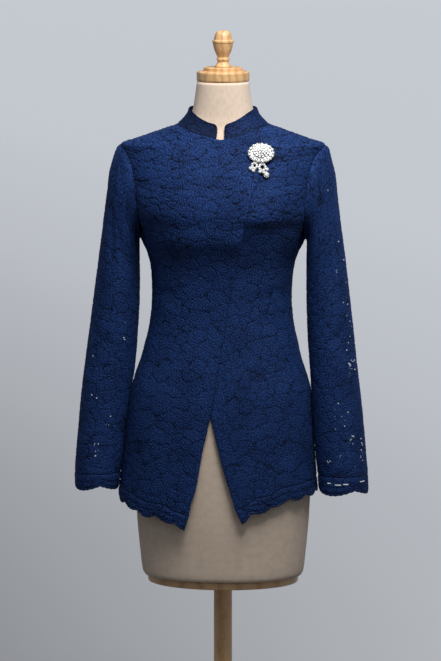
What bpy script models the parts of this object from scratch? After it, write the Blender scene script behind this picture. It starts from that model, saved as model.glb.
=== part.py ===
"""Lace kebaya blouse on a limbless linen dress form with a turned cap and a wooden stand.

Metres, +Z up, the front faces -Y, the wearer's left is +X and the floor is Z = 0.
Each cloth piece is a thin wall laid over one set of torso ovals.
"""

import bmesh
import bpy
import numpy as np

# Cloth.
CLOTH_WALL = 0.0015
SEAM_GAP = 0.0005
LAP_STEP = 0.0026
LAP_FLAT = 0.004
LAP_RISE = 0.030
LAP_FADE_LOW = 0.745
LAP_FADE_HIGH = 0.830
FRONT_FLATNESS = 0.04
SIDE_SPREAD_LOW = 1.140
SIDE_SPREAD_HIGH = 1.200

# Border strips of scalloped lace.
BORDER_WIDTH = 0.026
SCALLOP_PITCH = 0.0455
SCALLOP_DEPTH = 0.0065
RIGHT_POINT_LEVEL = 0.6260
LEFT_POINT_LEVEL = 0.6400

# Levels that the pieces share.
UNDERARM_LEVEL = 1.163
SHOULDER_TIP_LEVEL = 1.343
NECK_SIDE_LEVEL = 1.3805
EDGE_BREAK_LEVEL = 1.120

# Counts of grid steps.
SIDE_STEPS = 14
ARMHOLE_STEPS = 11
FLAP_STEPS = 4
TUCK_STEPS = 1
NECK_STEPS = 6
BACK_NECK_STEPS = 14
SHOULDER_STEPS = 4
BORDER_FINE = 3
CUFF_FINE = 2
RELAX_ROUNDS = 3

# The blouse as a stack of ovals.
# height, half width, front depth, back depth, shift to the side
TORSO = np.array((
    (0.580, 0.1990, 0.1240, 0.1330, -0.0100),
    (0.640, 0.1935, 0.1225, 0.1325, -0.0092),
    (0.685, 0.1890, 0.1205, 0.1315, -0.0088),
    (0.709, 0.1863, 0.1195, 0.1305, -0.0083),
    (0.760, 0.1817, 0.1170, 0.1285, -0.0070),
    (0.818, 0.1772, 0.1145, 0.1255, -0.0058),
    (0.873, 0.1710, 0.1105, 0.1190, -0.0040),
    (0.910, 0.1606, 0.1070, 0.1115, -0.0036),
    (0.936, 0.1516, 0.1040, 0.1055, -0.0033),
    (0.968, 0.1438, 0.1010, 0.0980, -0.0026),
    (0.990, 0.1383, 0.0990, 0.0930, -0.0024),
    (1.027, 0.1330, 0.0965, 0.0870, -0.0022),
    (1.057, 0.1314, 0.0960, 0.0850, -0.0020),
    (1.089, 0.1325, 0.0980, 0.0860, -0.0015),
    (1.118, 0.1360, 0.1020, 0.0885, -0.0010),
    (1.139, 0.1425, 0.1065, 0.0910, -0.0005),
    (1.163, 0.1540, 0.1125, 0.0945, 0.0000),
    (1.190, 0.1640, 0.1200, 0.0975, 0.0000),
    (1.220, 0.1760, 0.1240, 0.1000, 0.0000),
    (1.250, 0.1840, 0.1200, 0.1020, 0.0000),
    (1.280, 0.1890, 0.1115, 0.1020, 0.0000),
    (1.310, 0.1920, 0.1000, 0.0990, 0.0000),
    (1.330, 0.1930, 0.0905, 0.0945, 0.0000),
    (1.343, 0.1930, 0.0835, 0.0905, 0.0000),
    (1.3525, 0.1660, 0.0785, 0.0870, 0.0000),
    (1.362, 0.1390, 0.0742, 0.0838, 0.0000),
    (1.3715, 0.1120, 0.0705, 0.0805, 0.0000),
    (1.3805, 0.0870, 0.0665, 0.0770, 0.0000),
    (1.390, 0.0745, 0.0635, 0.0725, 0.0000),
    (1.402, 0.0680, 0.0610, 0.0690, 0.0000),
))

# Wearer's right front: free edge from the hem point up past the slit to the flap corner.
# height, distance across
OVERLAP_EDGE = np.array((
    (0.6200, -0.0685),
    (0.6363, -0.0596),
    (0.6764, -0.0515),
    (0.6974, -0.0442),
    (0.7355, -0.0371),
    (0.7810, -0.0291),
    (0.8057, -0.0229),
    (0.8407, -0.0160),
    (0.8717, -0.0111),
    (0.9316, -0.0016),
    (0.9809, 0.0075),
    (1.0442, 0.0166),
    (1.1204, 0.0326),
    (1.1747, 0.0430),
    (1.2092, 0.0512),
    (1.2377, 0.0570),
    (1.2651, 0.0642),
    (1.2772, 0.0703),
    (1.2926, 0.0760),
    (1.3100, 0.0792),
    (1.3250, 0.0800),
))
# Top edge of the flap from the notch to the corner: distance across, height.
FLAP_TOP = np.array((
    (-0.0075, 1.3597),
    (-0.0023, 1.3589),
    (0.0017, 1.3508),
    (0.0112, 1.3464),
    (0.0234, 1.3425),
    (0.0375, 1.3425),
    (0.0477, 1.3390),
    (0.0660, 1.3345),
    (0.0800, 1.3250),
))
# Wearer's left front: its edge runs under the right front above the slit.
# height, distance across
UNDERLAP_EDGE = np.array((
    (0.6350, 0.0470),
    (0.6623, 0.0317),
    (0.6813, 0.0262),
    (0.7040, 0.0190),
    (0.7275, 0.0116),
    (0.7607, 0.0025),
    (0.7909, -0.0048),
    (0.8407, -0.0160),
    (0.8700, -0.0225),
    (0.9200, -0.0280),
    (1.0000, -0.0280),
    (1.1000, -0.0240),
    (1.2000, -0.0180),
    (1.3000, -0.0120),
    (1.3585, -0.0080),
))
# Front neckline from the notch to the shoulder: distance across, height.
FRONT_NECK = np.array((
    (0.0075, 1.3597),
    (0.0255, 1.3640),
    (0.0405, 1.3668),
    (0.0528, 1.3705),
    (0.0668, 1.3765),
    (0.0800, 1.3798),
    (0.0870, 1.3805),
))
# Back neckline from the shoulder to the centre back: share of the way round, height.
BACK_NECK = np.array(((0.0, 1.3805), (0.2, 1.3835), (0.5, 1.3915), (1.0, 1.3975)))
# Armholes: height, distance across.
FRONT_ARMHOLE = np.array((
    (1.163, 0.1540),
    (1.170, 0.1553),
    (1.208, 0.1560),
    (1.245, 0.1580),
    (1.271, 0.1606),
    (1.294, 0.1650),
    (1.3256, 0.1762),
    (1.343, 0.1930),
))
BACK_ARMHOLE = np.array((
    (1.163, 0.1540),
    (1.170, 0.1548),
    (1.208, 0.1545),
    (1.245, 0.1555),
    (1.271, 0.1580),
    (1.294, 0.1630),
    (1.3256, 0.1760),
    (1.343, 0.1930),
))
# Hem lines without their scallops: share of the way to the side seam, height.
RIGHT_HEM = np.array((
    (-1.0, 0.6750),
    (-0.906, 0.6710),
    (-0.774, 0.6640),
    (-0.633, 0.6580),
    (-0.501, 0.6480),
    (-0.358, 0.6440),
    (-0.274, 0.6350),
    (-0.192, 0.6270),
    (-0.150, 0.6240),
))
LEFT_HEM = np.array((
    (0.150, 0.6380),
    (0.187, 0.6410),
    (0.264, 0.6570),
    (0.359, 0.6620),
    (0.482, 0.6760),
    (0.600, 0.6790),
    (0.754, 0.6820),
    (0.860, 0.6830),
    (1.000, 0.6850),
))
BACK_HEM = np.array(((-1.0, 0.6750), (-0.5, 0.6590), (0.0, 0.6520), (0.5, 0.6640), (1.0, 0.6850)))

# Collar: outward distances and heights of its top edge, and how early it draws in.
COLLAR_TOP_HALF_WIDTH = 0.0635
COLLAR_TOP_FRONT = 0.0605
COLLAR_TOP_BACK = 0.0600
COLLAR_FRONT_LEVEL = 1.386
COLLAR_SIDE_LEVEL = 1.4130
COLLAR_BACK_LEVEL = 1.4140
COLLAR_DRAW_IN = 1.8
COLLAR_ROWS = 4
COLLAR_CORNER_DROP = 0.007

# Sleeves as fanned rings from the armhole down to the cuff strip.
# outer x, outer height, inner x, inner height, middle y, half depth, share of the armhole shape
LEFT_SLEEVE = np.array((
    (0.1930, 1.3430, 0.1540, 1.1630, 0.000, 0.0600, 1.00),
    (0.1985, 1.3370, 0.1572, 1.1655, 0.000, 0.0600, 0.80),
    (0.2040, 1.3160, 0.1596, 1.1625, 0.000, 0.0595, 0.55),
    (0.2112, 1.2870, 0.1602, 1.1555, 0.000, 0.0585, 0.30),
    (0.2160, 1.2450, 0.1600, 1.1420, -0.001, 0.0565, 0.12),
    (0.2218, 1.1957, 0.1598, 1.1200, -0.002, 0.0545, 0.00),
    (0.2300, 1.1370, 0.1598, 1.0900, -0.003, 0.0525, 0.00),
    (0.2380, 1.0700, 0.1602, 1.0450, -0.004, 0.0510, 0.00),
    (0.2462, 1.0000, 0.1622, 0.9870, -0.006, 0.0495, 0.00),
    (0.2545, 0.9240, 0.1668, 0.9240, -0.008, 0.0490, 0.00),
    (0.2622, 0.8630, 0.1715, 0.8630, -0.011, 0.0480, 0.00),
    (0.2685, 0.8020, 0.1762, 0.8020, -0.014, 0.0475, 0.00),
    (0.2740, 0.7416, 0.1792, 0.7416, -0.017, 0.0475, 0.00),
    (0.2765, 0.7180, 0.1812, 0.7180, -0.018, 0.0478, 0.00),
))
RIGHT_SLEEVE = np.array((
    (-0.1930, 1.3430, -0.1540, 1.1630, 0.000, 0.0600, 1.00),
    (-0.1990, 1.3370, -0.1572, 1.1655, 0.000, 0.0600, 0.80),
    (-0.2060, 1.3200, -0.1596, 1.1625, 0.000, 0.0595, 0.55),
    (-0.2140, 1.2900, -0.1602, 1.1555, 0.000, 0.0585, 0.30),
    (-0.2192, 1.2480, -0.1600, 1.1420, -0.001, 0.0565, 0.12),
    (-0.2255, 1.1990, -0.1598, 1.1200, -0.002, 0.0545, 0.00),
    (-0.2335, 1.1370, -0.1592, 1.0900, -0.003, 0.0525, 0.00),
    (-0.2425, 1.0700, -0.1598, 1.0450, -0.004, 0.0510, 0.00),
    (-0.2515, 1.0000, -0.1630, 0.9870, -0.006, 0.0495, 0.00),
    (-0.2618, 0.9240, -0.1680, 0.9240, -0.008, 0.0480, 0.00),
    (-0.2690, 0.8630, -0.1792, 0.8630, -0.011, 0.0470, 0.00),
    (-0.2745, 0.8020, -0.1872, 0.8020, -0.014, 0.0465, 0.00),
    (-0.2795, 0.7416, -0.1935, 0.7416, -0.017, 0.0465, 0.00),
    (-0.2812, 0.7180, -0.1968, 0.7180, -0.018, 0.0468, 0.00),
))
LEFT_CUFF_DROP = (0.2772, 0.1828)
RIGHT_CUFF_DROP = (-0.2806, -0.2002)
CUFF_Y = -0.019
CUFF_HALF_DEPTH = 0.0480
CUFF_SCALLOPS = 6

# Dress form: height, half width, front depth, back depth.
FORM = np.array((
    (0.5200, 0.1500, 0.1000, 0.1080),
    (0.5260, 0.1535, 0.1020, 0.1105),
    (0.5600, 0.1580, 0.1040, 0.1140),
    (0.6400, 0.1650, 0.1080, 0.1190),
    (0.7200, 0.1680, 0.1090, 0.1200),
    (0.8000, 0.1655, 0.1070, 0.1170),
    (0.8730, 0.1600, 0.1030, 0.1110),
    (0.9100, 0.1520, 0.1000, 0.1045),
    (0.9360, 0.1435, 0.0970, 0.0985),
    (0.9680, 0.1345, 0.0940, 0.0915),
    (0.9900, 0.1295, 0.0920, 0.0870),
    (1.0270, 0.1245, 0.0895, 0.0815),
    (1.0570, 0.1230, 0.0890, 0.0797),
    (1.0890, 0.1245, 0.0910, 0.0807),
    (1.1180, 0.1285, 0.0950, 0.0832),
    (1.1390, 0.1345, 0.0995, 0.0860),
    (1.1630, 0.1450, 0.1055, 0.0895),
    (1.1900, 0.1575, 0.1130, 0.0927),
    (1.2200, 0.1695, 0.1170, 0.0952),
    (1.2500, 0.1780, 0.1135, 0.0972),
    (1.2800, 0.1825, 0.1045, 0.0960),
    (1.3100, 0.1850, 0.0925, 0.0925),
    (1.3300, 0.1850, 0.0825, 0.0870),
    (1.3390, 0.1825, 0.0768, 0.0832),
    (1.3485, 0.1570, 0.0700, 0.0798),
    (1.3580, 0.1300, 0.0645, 0.0765),
    (1.3675, 0.1040, 0.0590, 0.0728),
    (1.3765, 0.0800, 0.0550, 0.0690),
    (1.3860, 0.0690, 0.0528, 0.0645),
    (1.3990, 0.0600, 0.0512, 0.0575),
    (1.4200, 0.0550, 0.0502, 0.0525),
    (1.4400, 0.0518, 0.0494, 0.0500),
    (1.4620, 0.0492, 0.0484, 0.0478),
))
FORM_SIDES = 40
# Flat arm plates of the form: height, furthest distance across.
ARM_PLATE = np.array((
    (1.163, 0.1450),
    (1.190, 0.1520),
    (1.220, 0.1545),
    (1.300, 0.1560),
    (1.320, 0.1630),
    (1.330, 0.1700),
    (1.339, 0.1790),
    (1.3485, 0.1900),
))

# Turned and flat stand pieces: radius, height.
NECK_CAP = (
    (0.0470, 1.4624),
    (0.0490, 1.4640),
    (0.0498, 1.4690),
    (0.0498, 1.4760),
    (0.0482, 1.4805),
    (0.0372, 1.4815),
    (0.0365, 1.4830),
    (0.0365, 1.4870),
    (0.0350, 1.4887),
)
FINIAL = (
    (0.0156, 1.4891),
    (0.0150, 1.4915),
    (0.0112, 1.4960),
    (0.0104, 1.5005),
    (0.0118, 1.5015),
    (0.0118, 1.5055),
    (0.0104, 1.5070),
    (0.0120, 1.5110),
    (0.0165, 1.5210),
    (0.0190, 1.5320),
    (0.0200, 1.5350),
    (0.0200, 1.5385),
    (0.0172, 1.5400),
    (0.0165, 1.5445),
    (0.0140, 1.5520),
    (0.0085, 1.5575),
)
BOTTOM_PLATE_HALF_WIDTH = 0.1440
BOTTOM_PLATE_HALF_DEPTH = 0.0980
BOTTOM_PLATE_LEVELS = (0.5040, 0.5055, 0.5180, 0.5196)
BOTTOM_PLATE_Y = 0.004
POLE = (
    (0.0360, 0.0284),
    (0.0360, 0.0360),
    (0.0290, 0.0480),
    (0.0205, 0.0640),
    (0.0175, 0.0850),
    (0.0175, 0.5036),
)
FOOT_DISC = (
    (0.1700, 0.0000),
    (0.1745, 0.0030),
    (0.1750, 0.0090),
    (0.1735, 0.0190),
    (0.1680, 0.0250),
    (0.1560, 0.0280),
)
TURNED_SIDES = 32
FOOT_SIDES = 48

# Brooch: its place on the chest, then sizes in its own plane.
BROOCH_ACROSS = 0.0768
BROOCH_LEVEL = 1.3348
BROOCH_STANDOFF = 0.0030
PLATE_HALF_WIDTH = 0.0255
PLATE_HALF_HEIGHT = 0.0198
PLATE_THICKNESS = 0.0022
PLATE_LOBES = 17
PLATE_LOBE_DEPTH = 0.04
PLATE_SIDES = 68
DOME_HALF_WIDTH = 0.0150
DOME_HALF_HEIGHT = 0.0110
DOME_HEIGHT = 0.0050
DOME_RISE = 0.0020
DOME_SIDES = 28
FIT_GAP = 0.0004
# Hanging loops: distance across, height, half width, half height, hole half width, hole half height.
LEFT_LOOP = (0.0645, 1.3095, 0.0060, 0.0080, 0.0025, 0.0030)
RIGHT_LOOP = (0.0790, 1.3062, 0.0068, 0.0084, 0.0030, 0.0038)
LOOP_STANDOFF = 0.0022
LOOP_THICKNESS = 0.0022
LOOP_SIDES = 20
DROP_STONE = (0.0872, 1.2957, 0.0055)
DROP_STONE_HEIGHT = 0.0042


def steady(at, places, values):
    """Smooth monotone reading of a table."""
    step = np.diff(places)
    slope = np.diff(values) / step
    turn = np.zeros(len(places))
    before, after = slope[:-1], slope[1:]
    same = before * after > 0
    heavy_after = 2 * step[1:] + step[:-1]
    heavy_before = step[1:] + 2 * step[:-1]
    safe_before = np.where(same, before, 1.0)
    safe_after = np.where(same, after, 1.0)
    mean = (heavy_after + heavy_before) / (heavy_after / safe_before + heavy_before / safe_after)
    turn[1:-1] = np.where(same, mean, 0.0)
    turn[0], turn[-1] = slope[0], slope[-1]
    at = np.clip(np.asarray(at, float), places[0], places[-1])
    cell = np.clip(np.searchsorted(places, at) - 1, 0, len(step) - 1)
    t = (at - places[cell]) / step[cell]
    value = values[cell] * (1 + 2 * t) * (1 - t) ** 2
    value = value + values[cell + 1] * t * t * (3 - 2 * t)
    value = value + turn[cell] * step[cell] * t * (1 - t) ** 2
    return value + turn[cell + 1] * step[cell] * t * t * (t - 1)


def table(rows, at):
    """Second column of a table read at places of its first column."""
    return steady(at, rows[:, 0], rows[:, 1])


def torso(height, column):
    return steady(height, TORSO[:, 0], TORSO[:, column])


def side_share(height):
    """How much of the angle, rather than the sine, spreads the cloth at this height."""
    t = np.clip((SIDE_SPREAD_HIGH - height) / (SIDE_SPREAD_HIGH - SIDE_SPREAD_LOW), 0, 1)
    return t * t * (3 - 2 * t)


def oval(wrap, half_width, depth):
    """Across and out of a flattened oval at an angle from its middle."""
    out = (np.cos(wrap) - FRONT_FLATNESS * np.cos(3 * wrap)) / (1 - FRONT_FLATNESS)
    return half_width * np.sin(wrap), depth * out


def torso_point(wrap, height, back):
    across, out = oval(wrap, torso(height, 1), torso(height, 3 if back else 2))
    across = across + torso(height, 4)
    depth = out if back else -out
    return np.stack((across, depth, height + 0 * wrap), -1)


def torso_normal(wrap, height, back):
    small = 1e-4
    round_it = torso_point(wrap + small, height, back) - torso_point(wrap - small, height, back)
    up = torso_point(wrap, height + small, back) - torso_point(wrap, height - small, back)
    normal = np.cross(up, round_it) if back else np.cross(round_it, up)
    return normal / np.linalg.norm(normal, axis=-1, keepdims=True)


def spread_of(wrap, height):
    share = side_share(height)
    inner = (1 - share) * np.sin(wrap) + share * wrap / (np.pi / 2)
    return torso(height, 4) + torso(height, 1) * inner


def wrap_of(spread, height):
    """Angle whose spread is given, by halving."""
    low = np.full(np.shape(spread), -np.pi / 2)
    high = np.full(np.shape(spread), np.pi / 2)
    for _ in range(44):
        middle = (low + high) / 2
        less = spread_of(middle, height) < spread
        low = np.where(less, middle, low)
        high = np.where(less, high, middle)
    return (low + high) / 2


def wrap_across(across, height):
    """Angle at which the torso has this distance across."""
    sine = (across - torso(height, 4)) / torso(height, 1)
    return np.arcsin(np.clip(sine, -1, 1))


def by_length(spread, height, back, steps):
    """The same line with steps of equal length on the torso."""
    points = torso_point(wrap_of(spread, height), height, back)
    length = np.concatenate(((0,), np.cumsum(np.linalg.norm(np.diff(points, axis=0), axis=1))))
    at = np.linspace(0, length[-1], steps + 1)
    return np.stack((np.interp(at, length, spread), np.interp(at, length, height)), 1)


def edge_line(rows, low, high, steps):
    """A line given by height and distance across, from low to high."""
    height = np.linspace(low, high, 400)
    wrap = wrap_across(table(rows, height), height)
    return by_length(spread_of(wrap, height), height, False, steps)


def armhole_line(rows, side, back):
    height = UNDERARM_LEVEL + (SHOULDER_TIP_LEVEL - UNDERARM_LEVEL) * np.linspace(0, 1, 400)
    wrap = wrap_across(table(rows, height), height) * side
    return by_length(spread_of(wrap, height), height, back, ARMHOLE_STEPS)


def side_line(low, side):
    height = np.linspace(low, UNDERARM_LEVEL, SIDE_STEPS + 1)
    return np.stack((spread_of(side * np.pi / 2 + 0 * height, height), height), 1)


def across_line(rows, start, stop, side, steps):
    """A line given by distance across and height."""
    across = np.linspace(start, stop, 400)
    height = table(rows, across)
    wrap = wrap_across(side * across, height)
    return by_length(spread_of(wrap, height), height, False, steps)


def shoulder_line(side, back):
    height = np.linspace(NECK_SIDE_LEVEL, SHOULDER_TIP_LEVEL, 400)
    return by_length(spread_of(side * np.pi / 2 + 0 * height, height), height, back, SHOULDER_STEPS)


def back_neck_line():
    share = np.linspace(-1, 1, 400)
    height = table(BACK_NECK, 1 - np.abs(share))
    return by_length(spread_of(share * np.pi / 2, height), height, True, BACK_NECK_STEPS)


def hem_line(rows, start_wrap, stop_wrap, lift, steps):
    share = np.linspace(start_wrap, stop_wrap, steps + 1)
    height = table(rows, share) + lift
    return np.stack((spread_of(share * np.pi / 2, height), height), 1)


def joined(*lines):
    """One line from several that meet end to end."""
    return np.concatenate([lines[0]] + [line[1:] for line in lines[1:]])


def patch(left, right, bottom, top):
    """Blend of four edge lines: rows go up, columns go from left to right."""
    v = np.linspace(0, 1, len(left))[:, None, None]
    u = np.linspace(0, 1, len(bottom))[None, :, None]
    across = (1 - u) * left[:, None] + u * right[:, None]
    along = (1 - v) * bottom[None] + v * top[None]
    low = (1 - u) * left[0] + u * right[0]
    high = (1 - u) * left[-1] + u * right[-1]
    grid = across + along - (1 - v) * low - v * high
    for _ in range(RELAX_ROUNDS):
        rows = grid[:-2, 1:-1] + grid[2:, 1:-1]
        columns = grid[1:-1, :-2] + grid[1:-1, 2:]
        grid[1:-1, 1:-1] = (rows + columns) / 4
    return grid


def laid(grid, back):
    """Points and outward directions on the torso for a flat grid."""
    wrap = wrap_of(grid[..., 0], grid[..., 1])
    return torso_point(wrap, grid[..., 1], back), torso_normal(wrap, grid[..., 1], back)


def drawn_in(points, gap, sides):
    """Pull the named edges of a grid inwards by half the gap between two pieces."""
    moved = points.copy()
    pairs = {"low": (0, 1, 0), "high": (-1, -2, 0), "first": (0, 1, 1), "last": (-1, -2, 1)}
    for side in sides:
        edge, inner, axis = pairs[side]
        here = np.take(points, edge, axis)
        away = np.take(points, inner, axis) - here
        away = away / np.linalg.norm(away, axis=-1, keepdims=True) * gap / 2
        if axis == 0:
            moved[edge] += away
        else:
            moved[:, edge] += away
    return moved


def grid_normals(points, ring):
    """Directions square to a grid, its columns running round and its rows running on."""
    if ring:
        round_it = np.roll(points, -1, 1) - np.roll(points, 1, 1)
    else:
        round_it = np.gradient(points, axis=1)
    on = np.gradient(points, axis=0)
    normal = np.cross(round_it, on)
    return normal / np.linalg.norm(normal, axis=-1, keepdims=True)


def make_object(name, points, faces, material):
    mesh = bpy.data.meshes.new(name)
    mesh.from_pydata([tuple(p) for p in np.asarray(points, float)], [], faces)
    work = bmesh.new()
    work.from_mesh(mesh)
    bmesh.ops.recalc_face_normals(work, faces=work.faces)
    work.to_mesh(mesh)
    work.free()
    mesh.materials.append(material)
    for polygon in mesh.polygons:
        polygon.use_smooth = True
    made = bpy.data.objects.new(name, mesh)
    bpy.context.scene.collection.objects.link(made)
    return made


def cloth(name, points, normals, material, ring=False):
    """A closed wall on both sides of a grid of points."""
    rows, columns = points.shape[:2]
    half = CLOTH_WALL / 2
    outer = (points + normals * half).reshape(-1, 3)
    inner = (points - normals * half).reshape(-1, 3)
    shift = rows * columns
    faces = []

    def at(row, column):
        return row * columns + column % columns

    last = columns if ring else columns - 1
    for row in range(rows - 1):
        for column in range(last):
            quad = (at(row, column), at(row, column + 1), at(row + 1, column + 1), at(row + 1, column))
            faces += [(quad[0], quad[1], quad[2]), (quad[0], quad[2], quad[3])]
            faces += [(quad[0] + shift, quad[2] + shift, quad[1] + shift)]
            faces += [(quad[0] + shift, quad[3] + shift, quad[2] + shift)]
    rims = []
    for column in range(last):
        rims.append((at(0, column), at(0, column + 1)))
        rims.append((at(rows - 1, column + 1), at(rows - 1, column)))
    if not ring:
        for row in range(rows - 1):
            rims.append((at(row + 1, 0), at(row, 0)))
            rims.append((at(row, columns - 1), at(row + 1, columns - 1)))
    for start, stop in rims:
        faces += [(stop, start, start + shift), (stop, start + shift, stop + shift)]
    return make_object(name, np.concatenate((outer, inner)), faces, material)


def turned(name, profile, sides, material):
    """A solid of revolution from radius and height pairs."""
    rings = []
    for radius, height in profile:
        angle = np.arange(sides) * 2 * np.pi / sides
        rings.append(np.stack((radius * np.cos(angle), radius * np.sin(angle), height + 0 * angle), 1))
    return stacked(name, rings, material)


def stacked(name, rings, material):
    """A solid through closed rings with a middle point at each end."""
    sides = len(rings[0])
    points = np.concatenate(rings + [rings[0].mean(0)[None], rings[-1].mean(0)[None]])
    first, last = len(points) - 2, len(points) - 1
    faces = []
    for level in range(len(rings) - 1):
        for side in range(sides):
            a = level * sides + side
            b = level * sides + (side + 1) % sides
            faces += [(a, b, b + sides), (a, b + sides, a + sides)]
    top = (len(rings) - 1) * sides
    for side in range(sides):
        faces.append((first, (side + 1) % sides, side))
        faces.append((last, top + side, top + (side + 1) % sides))
    return make_object(name, points, faces, material)


def material(name, colour, roughness, metallic=0.0):
    made = bpy.data.materials.new(name)
    made.use_nodes = True
    shader = made.node_tree.nodes["Principled BSDF"]
    shader.inputs["Base Color"].default_value = (*colour, 1.0)
    shader.inputs["Roughness"].default_value = roughness
    shader.inputs["Metallic"].default_value = metallic
    return made


for old in list(bpy.data.objects):
    bpy.data.objects.remove(old, do_unlink=True)

LACE = material("navy_lace", (0.010, 0.022, 0.075), 0.7)
LINEN = material("linen", (0.72, 0.60, 0.48), 0.85)
BEECH = material("beech", (0.78, 0.50, 0.23), 0.45)
SILVER = material("silver", (0.80, 0.80, 0.80), 0.2, 1.0)
CRYSTAL = material("crystal", (0.90, 0.90, 0.92), 0.1)


def sleeve_rings(rows):
    """Fanned rings from the armhole down, each with the same count of points."""
    steps = 2 * ARMHOLE_STEPS
    angle = np.arange(steps) * np.pi / ARMHOLE_STEPS
    side = np.sign(rows[0, 0])
    front = laid(armhole_line(FRONT_ARMHOLE, side, False), False)[0][::-1]
    rear = laid(armhole_line(BACK_ARMHOLE, side, True), True)[0]
    seam = np.concatenate((front, rear[1:-1]))
    rings = []
    for outer_x, outer_z, inner_x, inner_z, middle_y, half_depth, keep in rows:
        outer = np.array((outer_x, middle_y, outer_z))
        inner = np.array((inner_x, middle_y, inner_z))
        middle = (outer + inner) / 2
        ring = middle + np.cos(angle)[:, None] * (outer - middle)
        ring[:, 1] -= np.sin(angle) * half_depth
        if not rings:
            shape = seam - ring
        rings.append(ring + keep * shape)
    return np.array(rings)


def cuff_grid(rows, top_ring, ends):
    """Scalloped strip below the last sleeve ring."""
    steps = 2 * ARMHOLE_STEPS * CUFF_FINE
    angle = np.arange(steps) * 2 * np.pi / steps
    top = np.empty((steps, 3))
    for part in range(CUFF_FINE):
        share = part / CUFF_FINE
        top[part::CUFF_FINE] = top_ring * (1 - share) + np.roll(top_ring, -1, 0) * share
    outer, inner = ends
    low = np.stack((
        (outer + inner) / 2 + np.cos(angle) * (outer - inner) / 2,
        CUFF_Y - np.sin(angle) * CUFF_HALF_DEPTH,
        rows[-1, 1] - BORDER_WIDTH - SCALLOP_DEPTH * np.abs(np.sin(angle * CUFF_SCALLOPS / 2)) + 0 * angle,
    ), 1)
    return np.array([top, (top * 0.55 + low * 0.45), low])


sleeves = {}
for word, rows in (("right", RIGHT_SLEEVE), ("left", LEFT_SLEEVE)):
    rings = sleeve_rings(rows)
    normals = grid_normals(rings, True)
    if np.sum((rings[6] - rings[6].mean(0)) * normals[6]) < 0:
        normals = -normals
    sleeves[word] = (rings, normals)

# Grids of the body panels.
def start_share(edge, level):
    return wrap_across(table(edge, level), level) / (np.pi / 2)


right_start = start_share(OVERLAP_EDGE, RIGHT_POINT_LEVEL)
left_start = start_share(UNDERLAP_EDGE, LEFT_POINT_LEVEL)
strip_level_right = table(RIGHT_HEM, right_start) + BORDER_WIDTH
strip_level_left = table(LEFT_HEM, left_start) + BORDER_WIDTH

flap_across = np.linspace(FLAP_TOP[-1, 0], FLAP_TOP[0, 0], 400)
flap_height = table(FLAP_TOP, flap_across)
flap_line = by_length(
    spread_of(wrap_across(flap_across, flap_height), flap_height), flap_height, False, FLAP_STEPS
)
right_columns = FLAP_STEPS + NECK_STEPS + SHOULDER_STEPS
left_columns = TUCK_STEPS + NECK_STEPS + SHOULDER_STEPS
back_columns = BACK_NECK_STEPS + 2 * SHOULDER_STEPS

right_neck = across_line(FRONT_NECK, FRONT_NECK[0, 0], FRONT_NECK[-1, 0], -1, NECK_STEPS)
left_neck = across_line(FRONT_NECK, FRONT_NECK[0, 0], FRONT_NECK[-1, 0], 1, NECK_STEPS)
right_top = joined(flap_line, right_neck, shoulder_line(-1, False))
tuck = np.array(((UNDERLAP_EDGE[-1, 1], UNDERLAP_EDGE[-1, 0]), left_neck[0]))
left_top = joined(tuck, left_neck, shoulder_line(1, False))

right_bottom = hem_line(
    RIGHT_HEM, start_share(OVERLAP_EDGE, strip_level_right), -1.0, BORDER_WIDTH, right_columns
)
left_bottom = hem_line(
    LEFT_HEM, start_share(UNDERLAP_EDGE, strip_level_left), 1.0, BORDER_WIDTH, left_columns
)
back_bottom = hem_line(BACK_HEM, -1.0, 1.0, BORDER_WIDTH, back_columns)


def free_edge(edge, low, top_level):
    lower = edge_line(edge, low, EDGE_BREAK_LEVEL, SIDE_STEPS)
    upper = edge_line(edge, EDGE_BREAK_LEVEL, top_level, ARMHOLE_STEPS)
    return joined(lower, upper)


right_left = free_edge(OVERLAP_EDGE, right_bottom[0, 1], OVERLAP_EDGE[-1, 0])
left_left = free_edge(UNDERLAP_EDGE, left_bottom[0, 1], UNDERLAP_EDGE[-1, 0])
right_bottom[0] = right_left[0]
left_bottom[0] = left_left[0]
right_side = joined(side_line(right_bottom[-1, 1], -1), armhole_line(FRONT_ARMHOLE, -1, False))
left_side = joined(side_line(left_bottom[-1, 1], 1), armhole_line(FRONT_ARMHOLE, 1, False))
back_right = joined(side_line(back_bottom[0, 1], -1), armhole_line(BACK_ARMHOLE, -1, True))
back_left = joined(side_line(back_bottom[-1, 1], 1), armhole_line(BACK_ARMHOLE, 1, True))
back_top = joined(
    shoulder_line(-1, True)[::-1], back_neck_line(), shoulder_line(1, True)
)


def lap_depth(across, height):
    """How far the left front is pressed in where the right front lies over it."""
    past_edge = across - table(OVERLAP_EDGE, height)
    past_edge = np.where(height > FLAP_TOP[-1, 1], across - FLAP_TOP[-1, 0], past_edge)
    past_top = height - table(FLAP_TOP, across)
    clear = np.maximum(past_edge, past_top)
    rise = np.clip((clear - LAP_FLAT) / LAP_RISE, 0, 1)
    rise = rise * rise * (3 - 2 * rise)
    fade = np.clip((height - LAP_FADE_LOW) / (LAP_FADE_HIGH - LAP_FADE_LOW), 0, 1)
    return LAP_STEP * (1 - rise) * fade * fade * (3 - 2 * fade)


def pressed(points, normals):
    depth = lap_depth(points[..., 0], points[..., 2])
    return points - normals * depth[..., None]


right_points, right_normals = laid(patch(right_left, right_side, right_bottom, right_top), False)
left_points, left_normals = laid(patch(left_left, left_side, left_bottom, left_top), False)
left_points = pressed(left_points, left_normals)
back_points, back_normals = laid(patch(back_right, back_left, back_bottom, back_top), True)

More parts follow.
